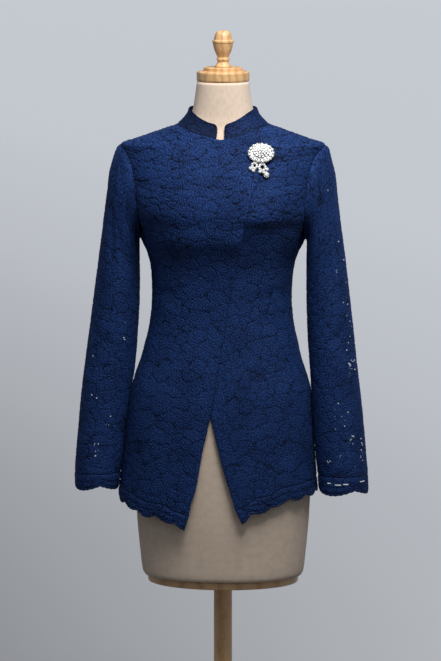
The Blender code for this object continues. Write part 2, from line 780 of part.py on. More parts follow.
# Collar grid from the right notch end round the back to the left notch end.
base_points = np.concatenate((
    right_points[-1, FLAP_STEPS : FLAP_STEPS + NECK_STEPS + 1],
    back_points[-1, SHOULDER_STEPS + 1 : SHOULDER_STEPS + BACK_NECK_STEPS],
    left_points[-1, TUCK_STEPS : TUCK_STEPS + NECK_STEPS + 1][::-1],
))
around = np.arctan2(base_points[:, 0], -base_points[:, 1])
facing = np.cos(around)
top_out = np.where(facing > 0, COLLAR_TOP_FRONT, COLLAR_TOP_BACK)
top_end = np.where(facing > 0, COLLAR_FRONT_LEVEL, COLLAR_BACK_LEVEL)
top_level = COLLAR_SIDE_LEVEL + (top_end - COLLAR_SIDE_LEVEL) * np.abs(facing)
top_level[[0, -1]] -= COLLAR_CORNER_DROP
top_points = np.stack((COLLAR_TOP_HALF_WIDTH * np.sin(around), -top_out * facing, top_level), 1)
collar_rows = []
for row in range(COLLAR_ROWS + 1):
    share = row / COLLAR_ROWS
    drawn = 1 - (1 - share) ** COLLAR_DRAW_IN
    mix = np.array((drawn, drawn, share))
    collar_rows.append(base_points + (top_points - base_points) * mix)
collar_points = np.array(collar_rows)
collar_normals = grid_normals(collar_points, False)
outward_sign = np.sign(np.sum(collar_normals[2, :, :2] * collar_points[2, :, :2]))
collar_normals = collar_normals * outward_sign


def shared(*directions):
    total = sum(directions)
    return total / np.linalg.norm(total, axis=-1, keepdims=True)


# Pieces that meet at a bend share the direction of their wall along the seam.
neck_right = slice(FLAP_STEPS, FLAP_STEPS + NECK_STEPS + 1)
neck_left = slice(TUCK_STEPS, TUCK_STEPS + NECK_STEPS + 1)
neck_back = slice(SHOULDER_STEPS, SHOULDER_STEPS + BACK_NECK_STEPS + 1)
neck_end = NECK_STEPS + BACK_NECK_STEPS
collar_normals[0, : NECK_STEPS + 1] = shared(collar_normals[0, : NECK_STEPS + 1], right_normals[-1, neck_right])
collar_normals[0, neck_end:] = shared(collar_normals[0, neck_end:], left_normals[-1, neck_left][::-1])
collar_normals[0, NECK_STEPS + 1 : neck_end] = shared(
    collar_normals[0, NECK_STEPS + 1 : neck_end], back_normals[-1, neck_back][1:-1]
)
right_normals[-1, neck_right] = collar_normals[0, : NECK_STEPS + 1]
left_normals[-1, neck_left] = collar_normals[0, neck_end:][::-1]
back_normals[-1, neck_back] = collar_normals[0, NECK_STEPS : neck_end + 1]

for word, front_normals, back_column in (("right", right_normals, 0), ("left", left_normals, -1)):
    rings, normals = sleeves[word]
    for step in range(ARMHOLE_STEPS + 1):
        row = SIDE_STEPS + step
        front_at = ARMHOLE_STEPS - step
        back_at = (ARMHOLE_STEPS + step) % (2 * ARMHOLE_STEPS)
        for at, panel, column in ((front_at, front_normals, -1), (back_at, back_normals, back_column)):
            normals[0, at] = shared(normals[0, at], panel[row, column])
    for step in range(ARMHOLE_STEPS + 1):
        row = SIDE_STEPS + step
        front_normals[row, -1] = normals[0, ARMHOLE_STEPS - step]
        back_normals[row, back_column] = normals[0, (ARMHOLE_STEPS + step) % (2 * ARMHOLE_STEPS)]


def strip(hem, edge, start_level, end_share, panel_points, panel_low):
    """Scalloped strip under a front panel or the back, seamed to its lower edge."""
    count = (len(panel_low) - 1) * BORDER_FINE
    along = np.linspace(0, 1, count + 1)
    coarse = np.arange(len(panel_low)) * BORDER_FINE
    fine = np.arange(count + 1)
    top = np.stack([np.interp(fine, coarse, panel_points[0, :, axis]) for axis in range(3)], 1)
    rows = [top]
    back = edge is None
    first = -1.0 if back else start_share(edge, start_level)
    share = first + (end_share - first) * along
    level = table(hem, share)
    points = torso_point(share * np.pi / 2, level, back)
    length = np.concatenate(((0,), np.cumsum(np.linalg.norm(np.diff(points, axis=0), axis=1))))
    count_scallops = max(round(length[-1] / SCALLOP_PITCH), 1)
    wave = np.abs(np.cos(np.pi * count_scallops * length / length[-1]))
    low = level + SCALLOP_DEPTH / 2 - SCALLOP_DEPTH * wave
    top_wrap = np.interp(fine, coarse, wrap_of(panel_low[:, 0], panel_low[:, 1])) / (np.pi / 2)
    normals = [torso_normal(top_wrap * np.pi / 2, top[:, 2], back)]
    for mix in (0.5, 1.0):
        here = top_wrap + (share - top_wrap) * mix
        height = top[:, 2] + (low - top[:, 2]) * mix
        rows.append(torso_point(here * np.pi / 2, height, back))
        normals.append(torso_normal(here * np.pi / 2, height, back))
    return np.array(rows), np.array(normals)


right_strip = strip(RIGHT_HEM, OVERLAP_EDGE, RIGHT_POINT_LEVEL, -1.0, right_points, right_bottom)
left_strip = strip(LEFT_HEM, UNDERLAP_EDGE, LEFT_POINT_LEVEL, 1.0, left_points, left_bottom)
back_strip = strip(BACK_HEM, None, 0.0, 1.0, back_points, back_bottom)

cloth("right_front", drawn_in(right_points, SEAM_GAP, ("low", "high", "last")), right_normals, LACE)
cloth("left_front", drawn_in(left_points, SEAM_GAP, ("low", "high", "last")), left_normals, LACE)
cloth("back", drawn_in(back_points, SEAM_GAP, ("low", "high", "first", "last")), back_normals, LACE)
cloth("right_front_border", drawn_in(right_strip[0], SEAM_GAP, ("low", "last")), right_strip[1], LACE)
cloth("left_front_border", drawn_in(left_strip[0], SEAM_GAP, ("low", "last")), left_strip[1], LACE)
cloth("back_border", drawn_in(back_strip[0], SEAM_GAP, ("low", "first", "last")), back_strip[1], LACE)
cloth("collar", drawn_in(collar_points, SEAM_GAP, ("low",)), collar_normals, LACE)
for word, rows, ends in (
    ("right", RIGHT_SLEEVE, RIGHT_CUFF_DROP),
    ("left", LEFT_SLEEVE, LEFT_CUFF_DROP),
):
    rings, normals = sleeves[word]
    cloth(word + "_sleeve", drawn_in(rings, SEAM_GAP, ("low", "high")), normals, LACE, True)
    cuff = cuff_grid(rows, rings[-1], ends)
    cuff_normals = grid_normals(cuff, True)
    if np.sum((cuff[1] - cuff[1].mean(0)) * cuff_normals[1]) < 0:
        cuff_normals = -cuff_normals
    coarse = np.repeat(normals[-1], CUFF_FINE, 0)
    coarse[1::CUFF_FINE] = shared(normals[-1], np.roll(normals[-1], -1, 0))
    cuff_normals[0] = coarse
    cloth(word + "_cuff_border", drawn_in(cuff, SEAM_GAP, ("low",)), cuff_normals, LACE, True)

# Dress form.
form_rings = []
turn = np.arange(FORM_SIDES) * 2 * np.pi / FORM_SIDES
for height, half_width, front_depth, back_depth in FORM:
    across, out = oval(turn, half_width, 1.0)
    depth = np.where(out > 0, front_depth, back_depth) * -out
    if ARM_PLATE[0, 0] <= height <= ARM_PLATE[-1, 0]:
        furthest = table(ARM_PLATE, height)
        across = np.clip(across, -furthest, furthest)
    form_rings.append(np.stack((across, depth, height + 0 * turn), 1))
stacked("form_torso", form_rings, LINEN)
turned("neck_cap", NECK_CAP, TURNED_SIDES, BEECH)
turned("finial", FINIAL, TURNED_SIDES, BEECH)
plate_rings = []
for height, share in zip(BOTTOM_PLATE_LEVELS, (0.985, 1.0, 1.0, 0.985)):
    across = BOTTOM_PLATE_HALF_WIDTH * share * np.sin(turn)
    depth = BOTTOM_PLATE_Y - BOTTOM_PLATE_HALF_DEPTH * share * np.cos(turn)
    plate_rings.append(np.stack((across, depth, height + 0 * turn), 1))
stacked("bottom_plate", plate_rings, BEECH)
turned("pole", POLE, TURNED_SIDES, BEECH)
turned("foot_disc", FOOT_DISC, FOOT_SIDES, BEECH)


# Brooch.
def on_chest(across, level, standoff):
    """Middle, right, up and outward directions of a place on the chest."""
    wrap = wrap_across(across, np.array(level))
    normal = torso_normal(wrap, np.array(level), False)
    middle = torso_point(wrap, np.array(level), False) + normal * standoff
    up = np.array((0.0, 0.0, 1.0)) - normal * normal[2]
    up = up / np.linalg.norm(up)
    return middle, np.cross(up, normal), up, normal


def flat_ring(place, half_width, half_height, rise, sides, lobes=0, lobe_depth=0.0):
    middle, right, up, normal = place
    angle = np.arange(sides) * 2 * np.pi / sides
    swell = 1 + lobe_depth * (np.abs(np.cos(lobes * angle / 2)) - 1)
    across = (half_width * swell * np.cos(angle))[:, None] * right
    return middle + across + (half_height * swell * np.sin(angle))[:, None] * up + rise * normal


brooch = on_chest(BROOCH_ACROSS, BROOCH_LEVEL, BROOCH_STANDOFF)
plate_shape = ((0.93, 0.0), (1.0, 0.25), (1.0, 0.75), (0.93, 1.0))
stacked("brooch_plate", [
    flat_ring(
        brooch, PLATE_HALF_WIDTH * share, PLATE_HALF_HEIGHT * share, PLATE_THICKNESS * rise,
        PLATE_SIDES, PLATE_LOBES, PLATE_LOBE_DEPTH,
    )
    for share, rise in plate_shape
], SILVER)
dome_place = (brooch[0] + brooch[2] * DOME_RISE, *brooch[1:])
stacked("brooch_dome", [
    flat_ring(
        dome_place, DOME_HALF_WIDTH * share, DOME_HALF_HEIGHT * share,
        PLATE_THICKNESS + FIT_GAP + DOME_HEIGHT * rise, DOME_SIDES,
    )
    for share, rise in ((0.96, 0.0), (1.0, 0.25), (0.86, 0.68), (0.5, 0.95))
], CRYSTAL)


def hanging_loop(name, sizes):
    across, level, half_width, half_height, hole_width, hole_height = sizes
    place = on_chest(across, level, LOOP_STANDOFF)
    rings = [
        flat_ring(place, half_width, half_height, 0.0, LOOP_SIDES),
        flat_ring(place, half_width, half_height, LOOP_THICKNESS, LOOP_SIDES),
        flat_ring(place, hole_width, hole_height, LOOP_THICKNESS, LOOP_SIDES),
        flat_ring(place, hole_width, hole_height, 0.0, LOOP_SIDES),
    ]
    faces = []
    for ring in range(len(rings)):
        for side in range(LOOP_SIDES):
            a = ring * LOOP_SIDES + side
            b = ring * LOOP_SIDES + (side + 1) % LOOP_SIDES
            c = (ring + 1) % len(rings) * LOOP_SIDES + (side + 1) % LOOP_SIDES
            d = (ring + 1) % len(rings) * LOOP_SIDES + side
            faces.append((a, b, c, d))
    make_object(name, np.concatenate(rings), faces, SILVER)


hanging_loop("brooch_left_loop", LEFT_LOOP)
hanging_loop("brooch_right_loop", RIGHT_LOOP)
stone_place = on_chest(DROP_STONE[0], DROP_STONE[1], LOOP_STANDOFF)
stacked("brooch_stone", [
    flat_ring(stone_place, DROP_STONE[2] * share, DROP_STONE[2] * share, DROP_STONE_HEIGHT * rise, LOOP_SIDES)
    for share, rise in ((0.9, 0.0), (1.0, 0.3), (0.85, 0.7), (0.5, 1.0))
], CRYSTAL)
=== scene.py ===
"""Looks of a lace kebaya blouse on a linen dress form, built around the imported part."""

import bmesh
import bpy
import numpy as np
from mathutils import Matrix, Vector


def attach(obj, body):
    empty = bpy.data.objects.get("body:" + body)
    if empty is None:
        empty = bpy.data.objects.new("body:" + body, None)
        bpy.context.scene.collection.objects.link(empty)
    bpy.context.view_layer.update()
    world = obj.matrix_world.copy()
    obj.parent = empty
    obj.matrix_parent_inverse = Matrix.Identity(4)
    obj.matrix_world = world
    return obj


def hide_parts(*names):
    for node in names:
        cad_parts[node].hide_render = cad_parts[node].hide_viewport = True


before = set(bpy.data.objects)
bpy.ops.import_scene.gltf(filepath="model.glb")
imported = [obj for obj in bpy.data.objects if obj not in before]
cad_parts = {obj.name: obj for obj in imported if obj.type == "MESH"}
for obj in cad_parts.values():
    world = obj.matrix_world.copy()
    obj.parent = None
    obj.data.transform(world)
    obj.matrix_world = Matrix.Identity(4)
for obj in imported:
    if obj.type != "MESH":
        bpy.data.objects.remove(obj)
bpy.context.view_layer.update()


# Torso of the dress form. A padded shell without arms or head, covered in natural linen
# that is drawn tight over it. Only the neck and the hips show once the blouse is on.
TORSO_SIDES = 96
TORSO_ROWS = 120
COVER_FLATNESS = 0.04
LINEN_COLOUR = (0.74, 0.60, 0.475)
LINEN_IN_GAPS, LINEN_ON_THREADS = (0.65, 0.51, 0.39), (0.82, 0.66, 0.52)
LINEN_THREAD = 0.0011
LINEN_ROUND = 0.12
WAVE_AT_SCALE_ONE = 0.314
# height, half width, front depth, back depth
COVER = np.array((
    (0.5200, 0.1500, 0.1000, 0.1080),
    (0.5260, 0.1535, 0.1020, 0.1105),
    (0.5600, 0.1580, 0.1040, 0.1140),
    (0.6400, 0.1650, 0.1080, 0.1190),
    (0.7200, 0.1680, 0.1090, 0.1200),
    (0.8000, 0.1655, 0.1070, 0.1170),
    (0.8730, 0.1600, 0.1030, 0.1110),
    (0.9360, 0.1435, 0.0970, 0.0985),
    (0.9900, 0.1295, 0.0920, 0.0870),
    (1.0270, 0.1245, 0.0895, 0.0815),
    (1.0570, 0.1230, 0.0890, 0.0797),
    (1.0890, 0.1245, 0.0910, 0.0807),
    (1.1390, 0.1345, 0.0995, 0.0860),
    (1.1900, 0.1575, 0.1130, 0.0927),
    (1.2200, 0.1695, 0.1170, 0.0952),
    (1.2500, 0.1780, 0.1135, 0.0972),
    (1.2800, 0.1825, 0.1045, 0.0960),
    (1.3100, 0.1850, 0.0925, 0.0925),
    (1.3300, 0.1850, 0.0825, 0.0870),
    (1.3390, 0.1825, 0.0768, 0.0832),
    (1.3485, 0.1570, 0.0700, 0.0798),
    (1.3580, 0.1300, 0.0645, 0.0765),
    (1.3675, 0.1040, 0.0590, 0.0728),
    (1.3765, 0.0800, 0.0550, 0.0690),
    (1.3860, 0.0690, 0.0528, 0.0645),
    (1.3990, 0.0600, 0.0512, 0.0575),
    (1.4200, 0.0550, 0.0502, 0.0525),
    (1.4400, 0.0518, 0.0494, 0.0500),
    (1.4620, 0.0492, 0.0484, 0.0478),
))
# Flat plates where the arms would be: height, furthest distance across.
ARM_PLATE = np.array((
    (1.163, 0.1450), (1.190, 0.1520), (1.220, 0.1545), (1.300, 0.1560),
    (1.320, 0.1630), (1.330, 0.1700), (1.339, 0.1790), (1.3485, 0.1900),
))


def steady(at, places, values):
    """Smooth reading of a table that never swings past its own values."""
    step = np.diff(places)
    slope = np.diff(values) / step
    turn = np.zeros(len(places))
    before, after = slope[:-1], slope[1:]
    same = before * after > 0
    heavy_after = 2 * step[1:] + step[:-1]
    heavy_before = step[1:] + 2 * step[:-1]
    safe_before = np.where(same, before, 1.0)
    safe_after = np.where(same, after, 1.0)
    mean = (heavy_after + heavy_before) / (heavy_after / safe_before + heavy_before / safe_after)
    turn[1:-1] = np.where(same, mean, 0.0)
    turn[0], turn[-1] = slope[0], slope[-1]
    at = np.clip(np.asarray(at, float), places[0], places[-1])
    cell = np.clip(np.searchsorted(places, at) - 1, 0, len(step) - 1)
    t = (at - places[cell]) / step[cell]
    value = values[cell] * (1 + 2 * t) * (1 - t) ** 2 + values[cell + 1] * t * t * (3 - 2 * t)
    value = value + turn[cell] * step[cell] * t * (1 - t) ** 2
    return value + turn[cell + 1] * step[cell] * t * t * (t - 1)


def table(rows, at):
    return steady(at, rows[:, 0], rows[:, 1])


def ease(low, high, value):
    """0 below low, 1 above high, and a soft rise between."""
    t = np.clip((value - low) / (high - low), 0, 1)
    return t * t * (3 - 2 * t)


def shown(name, points, faces, finish, smooth=True, uv=None):
    """A mesh object from points and faces, with each point's place on the cloth as its UV."""
    mesh = bpy.data.meshes.new(name)
    faces = [np.asarray(f, dtype=np.int32) for f in faces]
    loops = np.concatenate([f.ravel() for f in faces])
    sizes = np.concatenate([np.full(len(f), f.shape[1], dtype=np.int32) for f in faces])
    starts = np.concatenate(((0,), np.cumsum(sizes)[:-1])).astype(np.int32)
    mesh.vertices.add(len(points))
    mesh.vertices.foreach_set("co", np.asarray(points, dtype=np.float32).ravel())
    mesh.loops.add(len(loops))
    mesh.loops.foreach_set("vertex_index", loops)
    mesh.polygons.add(len(sizes))
    mesh.polygons.foreach_set("loop_start", starts)
    mesh.polygons.foreach_set("loop_total", sizes)
    mesh.polygons.foreach_set("use_smooth", np.full(len(sizes), smooth))
    if uv is not None:
        layer = mesh.uv_layers.new(name="on_cloth")
        layer.data.foreach_set("uv", np.asarray(uv, dtype=np.float32)[loops].ravel())
    mesh.update(calc_edges=True)
    mesh.validate()
    mesh.materials.append(finish)
    made = bpy.data.objects.new(name, mesh)
    bpy.context.scene.collection.objects.link(made)
    return made


def rings_to_faces(rings, sides):
    """Quads between stacked rings, and a fan over the first and the last."""
    level, side = np.meshgrid(np.arange(rings - 1), np.arange(sides), indexing="ij")
    a = (level * sides + side).ravel()
    b = (level * sides + (side + 1) % sides).ravel()
    quads = np.stack((a, b, b + sides, a + sides), 1)
    around = np.arange(sides)
    onward = (around + 1) % sides
    low = np.stack((0 * around + rings * sides, onward, around), 1)
    top = (rings - 1) * sides
    high = np.stack((0 * around + rings * sides + 1, top + around, top + onward), 1)
    return [quads, low, high]


def with_ends(rings):
    """The points of stacked rings, then the middle of the first and of the last."""
    return np.concatenate([*rings, rings[0].mean(0)[None], rings[-1].mean(0)[None]])


def fixed(made, slot, *stands_for):
    """Says what carries a piece and which solids it stands for; the slot for its finish is not used."""
    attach(made, "root")
    if stands_for:
        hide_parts(*stands_for)


def finish_of(name, colour, roughness, metallic=0.0):
    """A new material with its shader's plain sockets set, and its node tree's pieces."""
    made = bpy.data.materials.new(name)
    made.use_nodes = True
    shader = made.node_tree.nodes["Principled BSDF"]
    shader.inputs["Base Color"].default_value = (*colour, 1)
    shader.inputs["Roughness"].default_value = roughness
    shader.inputs["Metallic"].default_value = metallic
    return made, made.node_tree, shader


def node(tree, kind, links=(), **values):
    """A shader node with its settings, its plain sockets and what feeds them."""
    made = tree.nodes.new(kind)
    for key, value in values.items():
        setattr(made, key, value)
    for socket, source in links:
        if isinstance(source, bpy.types.NodeSocket):
            tree.links.new(source, made.inputs[socket])
        else:
            made.inputs[socket].default_value = source
    return made


def ramp(tree, source, stops):
    """Colours along a value from 0 to 1."""
    made = node(tree, "ShaderNodeValToRGB", [("Fac", source)])
    elements = made.color_ramp.elements
    while len(elements) < len(stops):
        elements.new(0.5)
    for element, (place, colour) in zip(elements, stops):
        element.position = place
        element.color = (*colour, 1)
    return made.outputs["Color"]


linen, tree, shader = finish_of("natural_linen", LINEN_COLOUR, 0.88)
shader.inputs["Specular IOR Level"].default_value = 0.2
shader.inputs["Sheen Weight"].default_value = 0.15
place = node(tree, "ShaderNodeUVMap", uv_map="on_cloth").outputs["UV"]
threads = []
for across in ("X", "Y"):
    threads.append(node(
        tree, "ShaderNodeTexWave",
        [
            ("Vector", place), ("Scale", WAVE_AT_SCALE_ONE / LINEN_THREAD),
            ("Distortion", 1.4), ("Detail", 1.0),
        ],
        bands_direction=across,
    ).outputs["Fac"])
weave = node(tree, "ShaderNodeMath", [(0, threads[0]), (1, threads[1])], operation="MAXIMUM")
slub = node(tree, "ShaderNodeTexNoise", [("Vector", place), ("Scale", 90.0), ("Detail", 4.0)])
tone = node(
    tree, "ShaderNodeMath", [(0, weave.outputs[0]), (1, slub.outputs["Fac"])], operation="MULTIPLY"
)
tree.links.new(
    ramp(tree, tone.outputs[0], ((0.10, LINEN_IN_GAPS), (0.55, LINEN_ON_THREADS))),
    shader.inputs["Base Color"],
)
bump = node(tree, "ShaderNodeBump", [
    ("Height", weave.outputs[0]), ("Strength", 0.35), ("Distance", 0.0004),
])
tree.links.new(bump.outputs["Normal"], shader.inputs["Normal"])

levels = steady(np.linspace(0, 1, TORSO_ROWS), np.linspace(0, 1, len(COVER)), COVER[:, 0])
turn = np.arange(TORSO_SIDES) * 2 * np.pi / TORSO_SIDES
facing = (np.cos(turn) - COVER_FLATNESS * np.cos(3 * turn)) / (1 - COVER_FLATNESS)
cover_rings = []
cover_places = []
for level in levels:
    half_width, front, back = (steady(level, COVER[:, 0], COVER[:, column]) for column in (1, 2, 3))
    across = half_width * np.sin(turn)
    if ARM_PLATE[0, 0] <= level <= ARM_PLATE[-1, 0]:
        furthest = table(ARM_PLATE, level)
        across = np.clip(across, -furthest, furthest)
    depth = np.where(facing > 0, front, back) * -facing
    cover_rings.append(np.stack((across, depth, level + 0 * turn), 1))
    cover_places.append(np.stack((np.abs(np.pi - turn) * LINEN_ROUND, level + 0 * turn), 1))
torso_cover = shown(
    "linen_torso", with_ends(cover_rings), rings_to_faces(TORSO_ROWS, TORSO_SIDES), linen,
    uv=np.concatenate(cover_places + [np.zeros((2, 2))]),
)
fixed(torso_cover, "linen", "form_torso")


# Neck cap and finial. Beech turned on a lathe: a thick flat cap with a beaded lip screws onto
# the neck, and a small spindle with an acorn knob is pegged into it.
TURNED_SIDES = 96
TURNED_FINE = 5
# radius, height
CAP_PROFILE = (
    (0.0462, 1.4624), (0.0486, 1.4630), (0.0494, 1.4646), (0.0498, 1.4672), (0.0498, 1.4770),
    (0.0494, 1.4794), (0.0482, 1.4808), (0.0440, 1.4815), (0.0376, 1.4817), (0.0366, 1.4824),
    (0.0366, 1.4868), (0.0360, 1.4882), (0.0345, 1.4887),
)
FINIAL_PROFILE = (
    (0.0154, 1.4891), (0.0153, 1.4905), (0.0135, 1.4935), (0.0112, 1.4962), (0.0103, 1.4990),
    (0.0106, 1.5004), (0.0119, 1.5016), (0.0122, 1.5035), (0.0119, 1.5054), (0.0106, 1.5066),
    (0.0106, 1.5080), (0.0122, 1.5115), (0.0162, 1.5205), (0.0188, 1.5310), (0.0192, 1.5335),
    (0.0200, 1.5348), (0.0202, 1.5368), (0.0199, 1.5388), (0.0176, 1.5400), (0.0170, 1.5425),
    (0.0158, 1.5480), (0.0135, 1.5530), (0.0100, 1.5562), (0.0050, 1.5578),
)
BEECH_PALE, BEECH_DARK = (0.72, 0.44, 0.205), (0.50, 0.26, 0.095)
GRAIN_OF_CAP, GRAIN_OF_STAND = 22.0, 9.0


def beech_finish(name, grain):
    """Waxed beech with growth rings across the turning and short dark flecks."""
    made, tree, shader = finish_of(name, BEECH_PALE, 0.42)
    shader.inputs["Coat Weight"].default_value = 0.18
    shader.inputs["Coat Roughness"].default_value = 0.25
    place = node(tree, "ShaderNodeTexCoord").outputs["Object"]
    rings = node(tree, "ShaderNodeTexWave", [
        ("Vector", place), ("Scale", grain), ("Distortion", 5.0), ("Detail", 3.0),
        ("Detail Scale", 1.4),
    ], bands_direction="X")
    stretched = node(tree, "ShaderNodeMapping", [("Vector", place), ("Scale", (900.0, 900.0, 160.0))])
    flecks = node(tree, "ShaderNodeTexNoise", [
        ("Vector", stretched.outputs[0]), ("Scale", 1.0), ("Detail", 3.0),
    ])
    mixed = node(tree, "ShaderNodeMath", [
        (0, rings.outputs["Fac"]), (1, 0.45), (2, flecks.outputs["Fac"]),
    ], operation="MULTIPLY_ADD")
    colour = ramp(tree, mixed.outputs[0], ((0.40, BEECH_DARK), (0.78, BEECH_PALE)))
    tree.links.new(colour, shader.inputs["Base Color"])
    bump = node(tree, "ShaderNodeBump", [
        ("Height", flecks.outputs["Fac"]), ("Strength", 0.12), ("Distance", 0.0003),
    ])
    tree.links.new(bump.outputs["Normal"], shader.inputs["Normal"])
    return made


def lathe_turned(name, profile, finish, stands_for):
    """A turned solid with its profile's corners eased between the given points."""
    profile = np.array(profile)
    at = np.linspace(0, 1, (len(profile) - 1) * TURNED_FINE + 1)
    places = np.linspace(0, 1, len(profile))
    turn = np.arange(TURNED_SIDES) * 2 * np.pi / TURNED_SIDES
    rings = [
        np.stack((radius * np.cos(turn), radius * np.sin(turn), level + 0 * turn), 1)
        for radius, level in zip(steady(at, places, profile[:, 0]), steady(at, places, profile[:, 1]))
    ]
    made = shown(name, with_ends(rings), rings_to_faces(len(at), TURNED_SIDES), finish)
    fixed(made, "beech", stands_for)


beech = beech_finish("waxed_beech", GRAIN_OF_CAP)
lathe_turned("turned_neck_cap", CAP_PROFILE, beech, "neck_cap")
lathe_turned("turned_finial", FINIAL_PROFILE, beech, "finial")


# Stand. A beech plate closes the bottom of the torso, a turned pole is glued into it, and a
# heavy round foot with an eased edge carries the pole.
POLE_PROFILE = (
    (0.0360, 0.0284), (0.0362, 0.0330), (0.0352, 0.0370), (0.0318, 0.0420), (0.0290, 0.0480),
    (0.0244, 0.0560), (0.0205, 0.0640), (0.0186, 0.0740), (0.0178, 0.0850), (0.0175, 0.1200),
    (0.0175, 0.4200), (0.0175, 0.5036),
)
FOOT_PROFILE = (
    (0.1700, 0.0000), (0.1738, 0.0012), (0.1750, 0.0050), (0.1750, 0.0110), (0.1742, 0.0170),
    (0.1715, 0.0222), (0.1660, 0.0260), (0.1590, 0.0276), (0.1560, 0.0280),
)
PLATE_HALF_WIDTH = 0.1440
PLATE_HALF_DEPTH = 0.0980
PLATE_MIDDLE = 0.004
# share of the plate's size, height
PLATE_PROFILE = (
    (0.978, 0.5040), (0.992, 0.5048), (0.999, 0.5068), (1.0, 0.5100),
    (1.0, 0.5150), (0.998, 0.5176), (0.990, 0.5191), (0.978, 0.5196),
)
stand_beech = beech_finish("waxed_beech_stand", GRAIN_OF_STAND)
lathe_turned("turned_pole", POLE_PROFILE, stand_beech, "pole")
lathe_turned("round_foot", FOOT_PROFILE, stand_beech, "foot_disc")
turn = np.arange(TURNED_SIDES) * 2 * np.pi / TURNED_SIDES
plate_rings = [
    np.stack((
        PLATE_HALF_WIDTH * share * np.sin(turn),
        PLATE_MIDDLE - PLATE_HALF_DEPTH * share * np.cos(turn),
        level + 0 * turn,
    ), 1)
    for share, level in PLATE_PROFILE
]
bottom_plate = shown(
    "closing_plate", with_ends(plate_rings), rings_to_faces(len(PLATE_PROFILE), TURNED_SIDES), stand_beech
)
fixed(bottom_plate, "beech", "bottom_plate")


# Back of the blouse. One panel of navy corded lace: fine cord is couched in wandering rows
# over net, and petal outlines are left as narrow sunk lines between the cords.
# It is cut with a shaped side and shoulder seam and hangs on the form's shoulders.
BACK_ROWS_BELOW, BACK_ROWS_BESIDE = 264, 104
BACK_NECK_COLUMNS, BACK_SHOULDER_COLUMNS = 152, 44
BACK_CELL = 0.0019
LACE_DEPTH = 0.0011
LACE_RISE = 0.0008
PETAL_LINE_DEPTH = 0.0014
WALL_BEHIND = 0.0007
SEAM_FALL = 0.0022
COARSER = 4
BEHIND_PALE = 0.25
# share of its paleness that the lace keeps at a panel's seams
EDGE_PALE = 0.85
CHEST_STARTS, CHEST_FULL = 1.16, 1.26
FRONT_FLATNESS = 0.04
STRIP_WIDTH = 0.026
UNDERARM, SHOULDER_TIP, NECK_SIDE = 1.163, 1.343, 1.3805
ROUND_BELOW, FLAT_ABOVE = 1.140, 1.200
FINE_STEPS, NECK_FINE_STEPS = 1200, 1600
HALVINGS = 30
GIRTH_LEVELS, GIRTH_STEPS = 140, 60
# height, half width, front depth, back depth, shift to the side
BODY = np.array((
    (0.580, 0.1990, 0.1240, 0.1330, -0.0100),
    (0.640, 0.1935, 0.1225, 0.1325, -0.0092),
    (0.685, 0.1890, 0.1205, 0.1315, -0.0088),
    (0.709, 0.1863, 0.1195, 0.1305, -0.0083),
    (0.760, 0.1817, 0.1170, 0.1285, -0.0070),
    (0.818, 0.1772, 0.1145, 0.1255, -0.0058),
    (0.873, 0.1710, 0.1105, 0.1190, -0.0040),
    (0.910, 0.1606, 0.1070, 0.1115, -0.0036),
    (0.936, 0.1516, 0.1040, 0.1055, -0.0033),
    (0.968, 0.1438, 0.1010, 0.0980, -0.0026),
    (0.990, 0.1383, 0.0990, 0.0930, -0.0024),
    (1.027, 0.1330, 0.0965, 0.0870, -0.0022),
    (1.057, 0.1314, 0.0960, 0.0850, -0.0020),
    (1.089, 0.1325, 0.0980, 0.0860, -0.0015),
    (1.118, 0.1360, 0.1020, 0.0885, -0.0010),
    (1.139, 0.1425, 0.1065, 0.0910, -0.0005),
    (1.163, 0.1540, 0.1125, 0.0945, 0.0000),
    (1.190, 0.1640, 0.1200, 0.0975, 0.0000),
    (1.220, 0.1760, 0.1240, 0.1000, 0.0000),
    (1.250, 0.1840, 0.1200, 0.1020, 0.0000),
    (1.280, 0.1890, 0.1115, 0.1020, 0.0000),
    (1.310, 0.1920, 0.1000, 0.0990, 0.0000),
    (1.330, 0.1930, 0.0905, 0.0945, 0.0000),
    (1.343, 0.1930, 0.0835, 0.0905, 0.0000),
    (1.3525, 0.1660, 0.0785, 0.0870, 0.0000),
    (1.362, 0.1390, 0.0742, 0.0838, 0.0000),
    (1.3715, 0.1120, 0.0705, 0.0805, 0.0000),
    (1.3805, 0.0870, 0.0665, 0.0770, 0.0000),
    (1.390, 0.0745, 0.0635, 0.0725, 0.0000),
    (1.402, 0.0680, 0.0610, 0.0690, 0.0000),
))
# height, distance across
BACK_ARMHOLE = np.array((
    (1.163, 0.1540), (1.170, 0.1548), (1.208, 0.1545), (1.245, 0.1555),
    (1.271, 0.1580), (1.294, 0.1630), (1.3256, 0.1760), (1.343, 0.1930),
))
# share of the way round, height
BACK_NECK = np.array(((0.0, 1.3805), (0.2, 1.3835), (0.5, 1.3915), (1.0, 1.3975)))
BACK_HEM = np.array(((-1.0, 0.6750), (-0.5, 0.6590), (0.0, 0.6520), (0.5, 0.6640), (1.0, 0.6850)))


def body(height, column):
    return steady(height, BODY[:, 0], BODY[:, column])


def body_point(wrap, height, back):
    out = (np.cos(wrap) - FRONT_FLATNESS * np.cos(3 * wrap)) / (1 - FRONT_FLATNESS)
    depth = out * body(height, 3 if back else 2)
    across = body(height, 1) * np.sin(wrap) + body(height, 4)
    return np.stack((across, depth if back else -depth, height + 0 * wrap), -1)


def body_outward(wrap, height, back):
    small = 1e-4
    round_it = body_point(wrap + small, height, back) - body_point(wrap - small, height, back)
    up = body_point(wrap, height + small, back) - body_point(wrap, height - small, back)
    out = np.cross(up, round_it) if back else np.cross(round_it, up)
    return out / np.linalg.norm(out, axis=-1, keepdims=True)


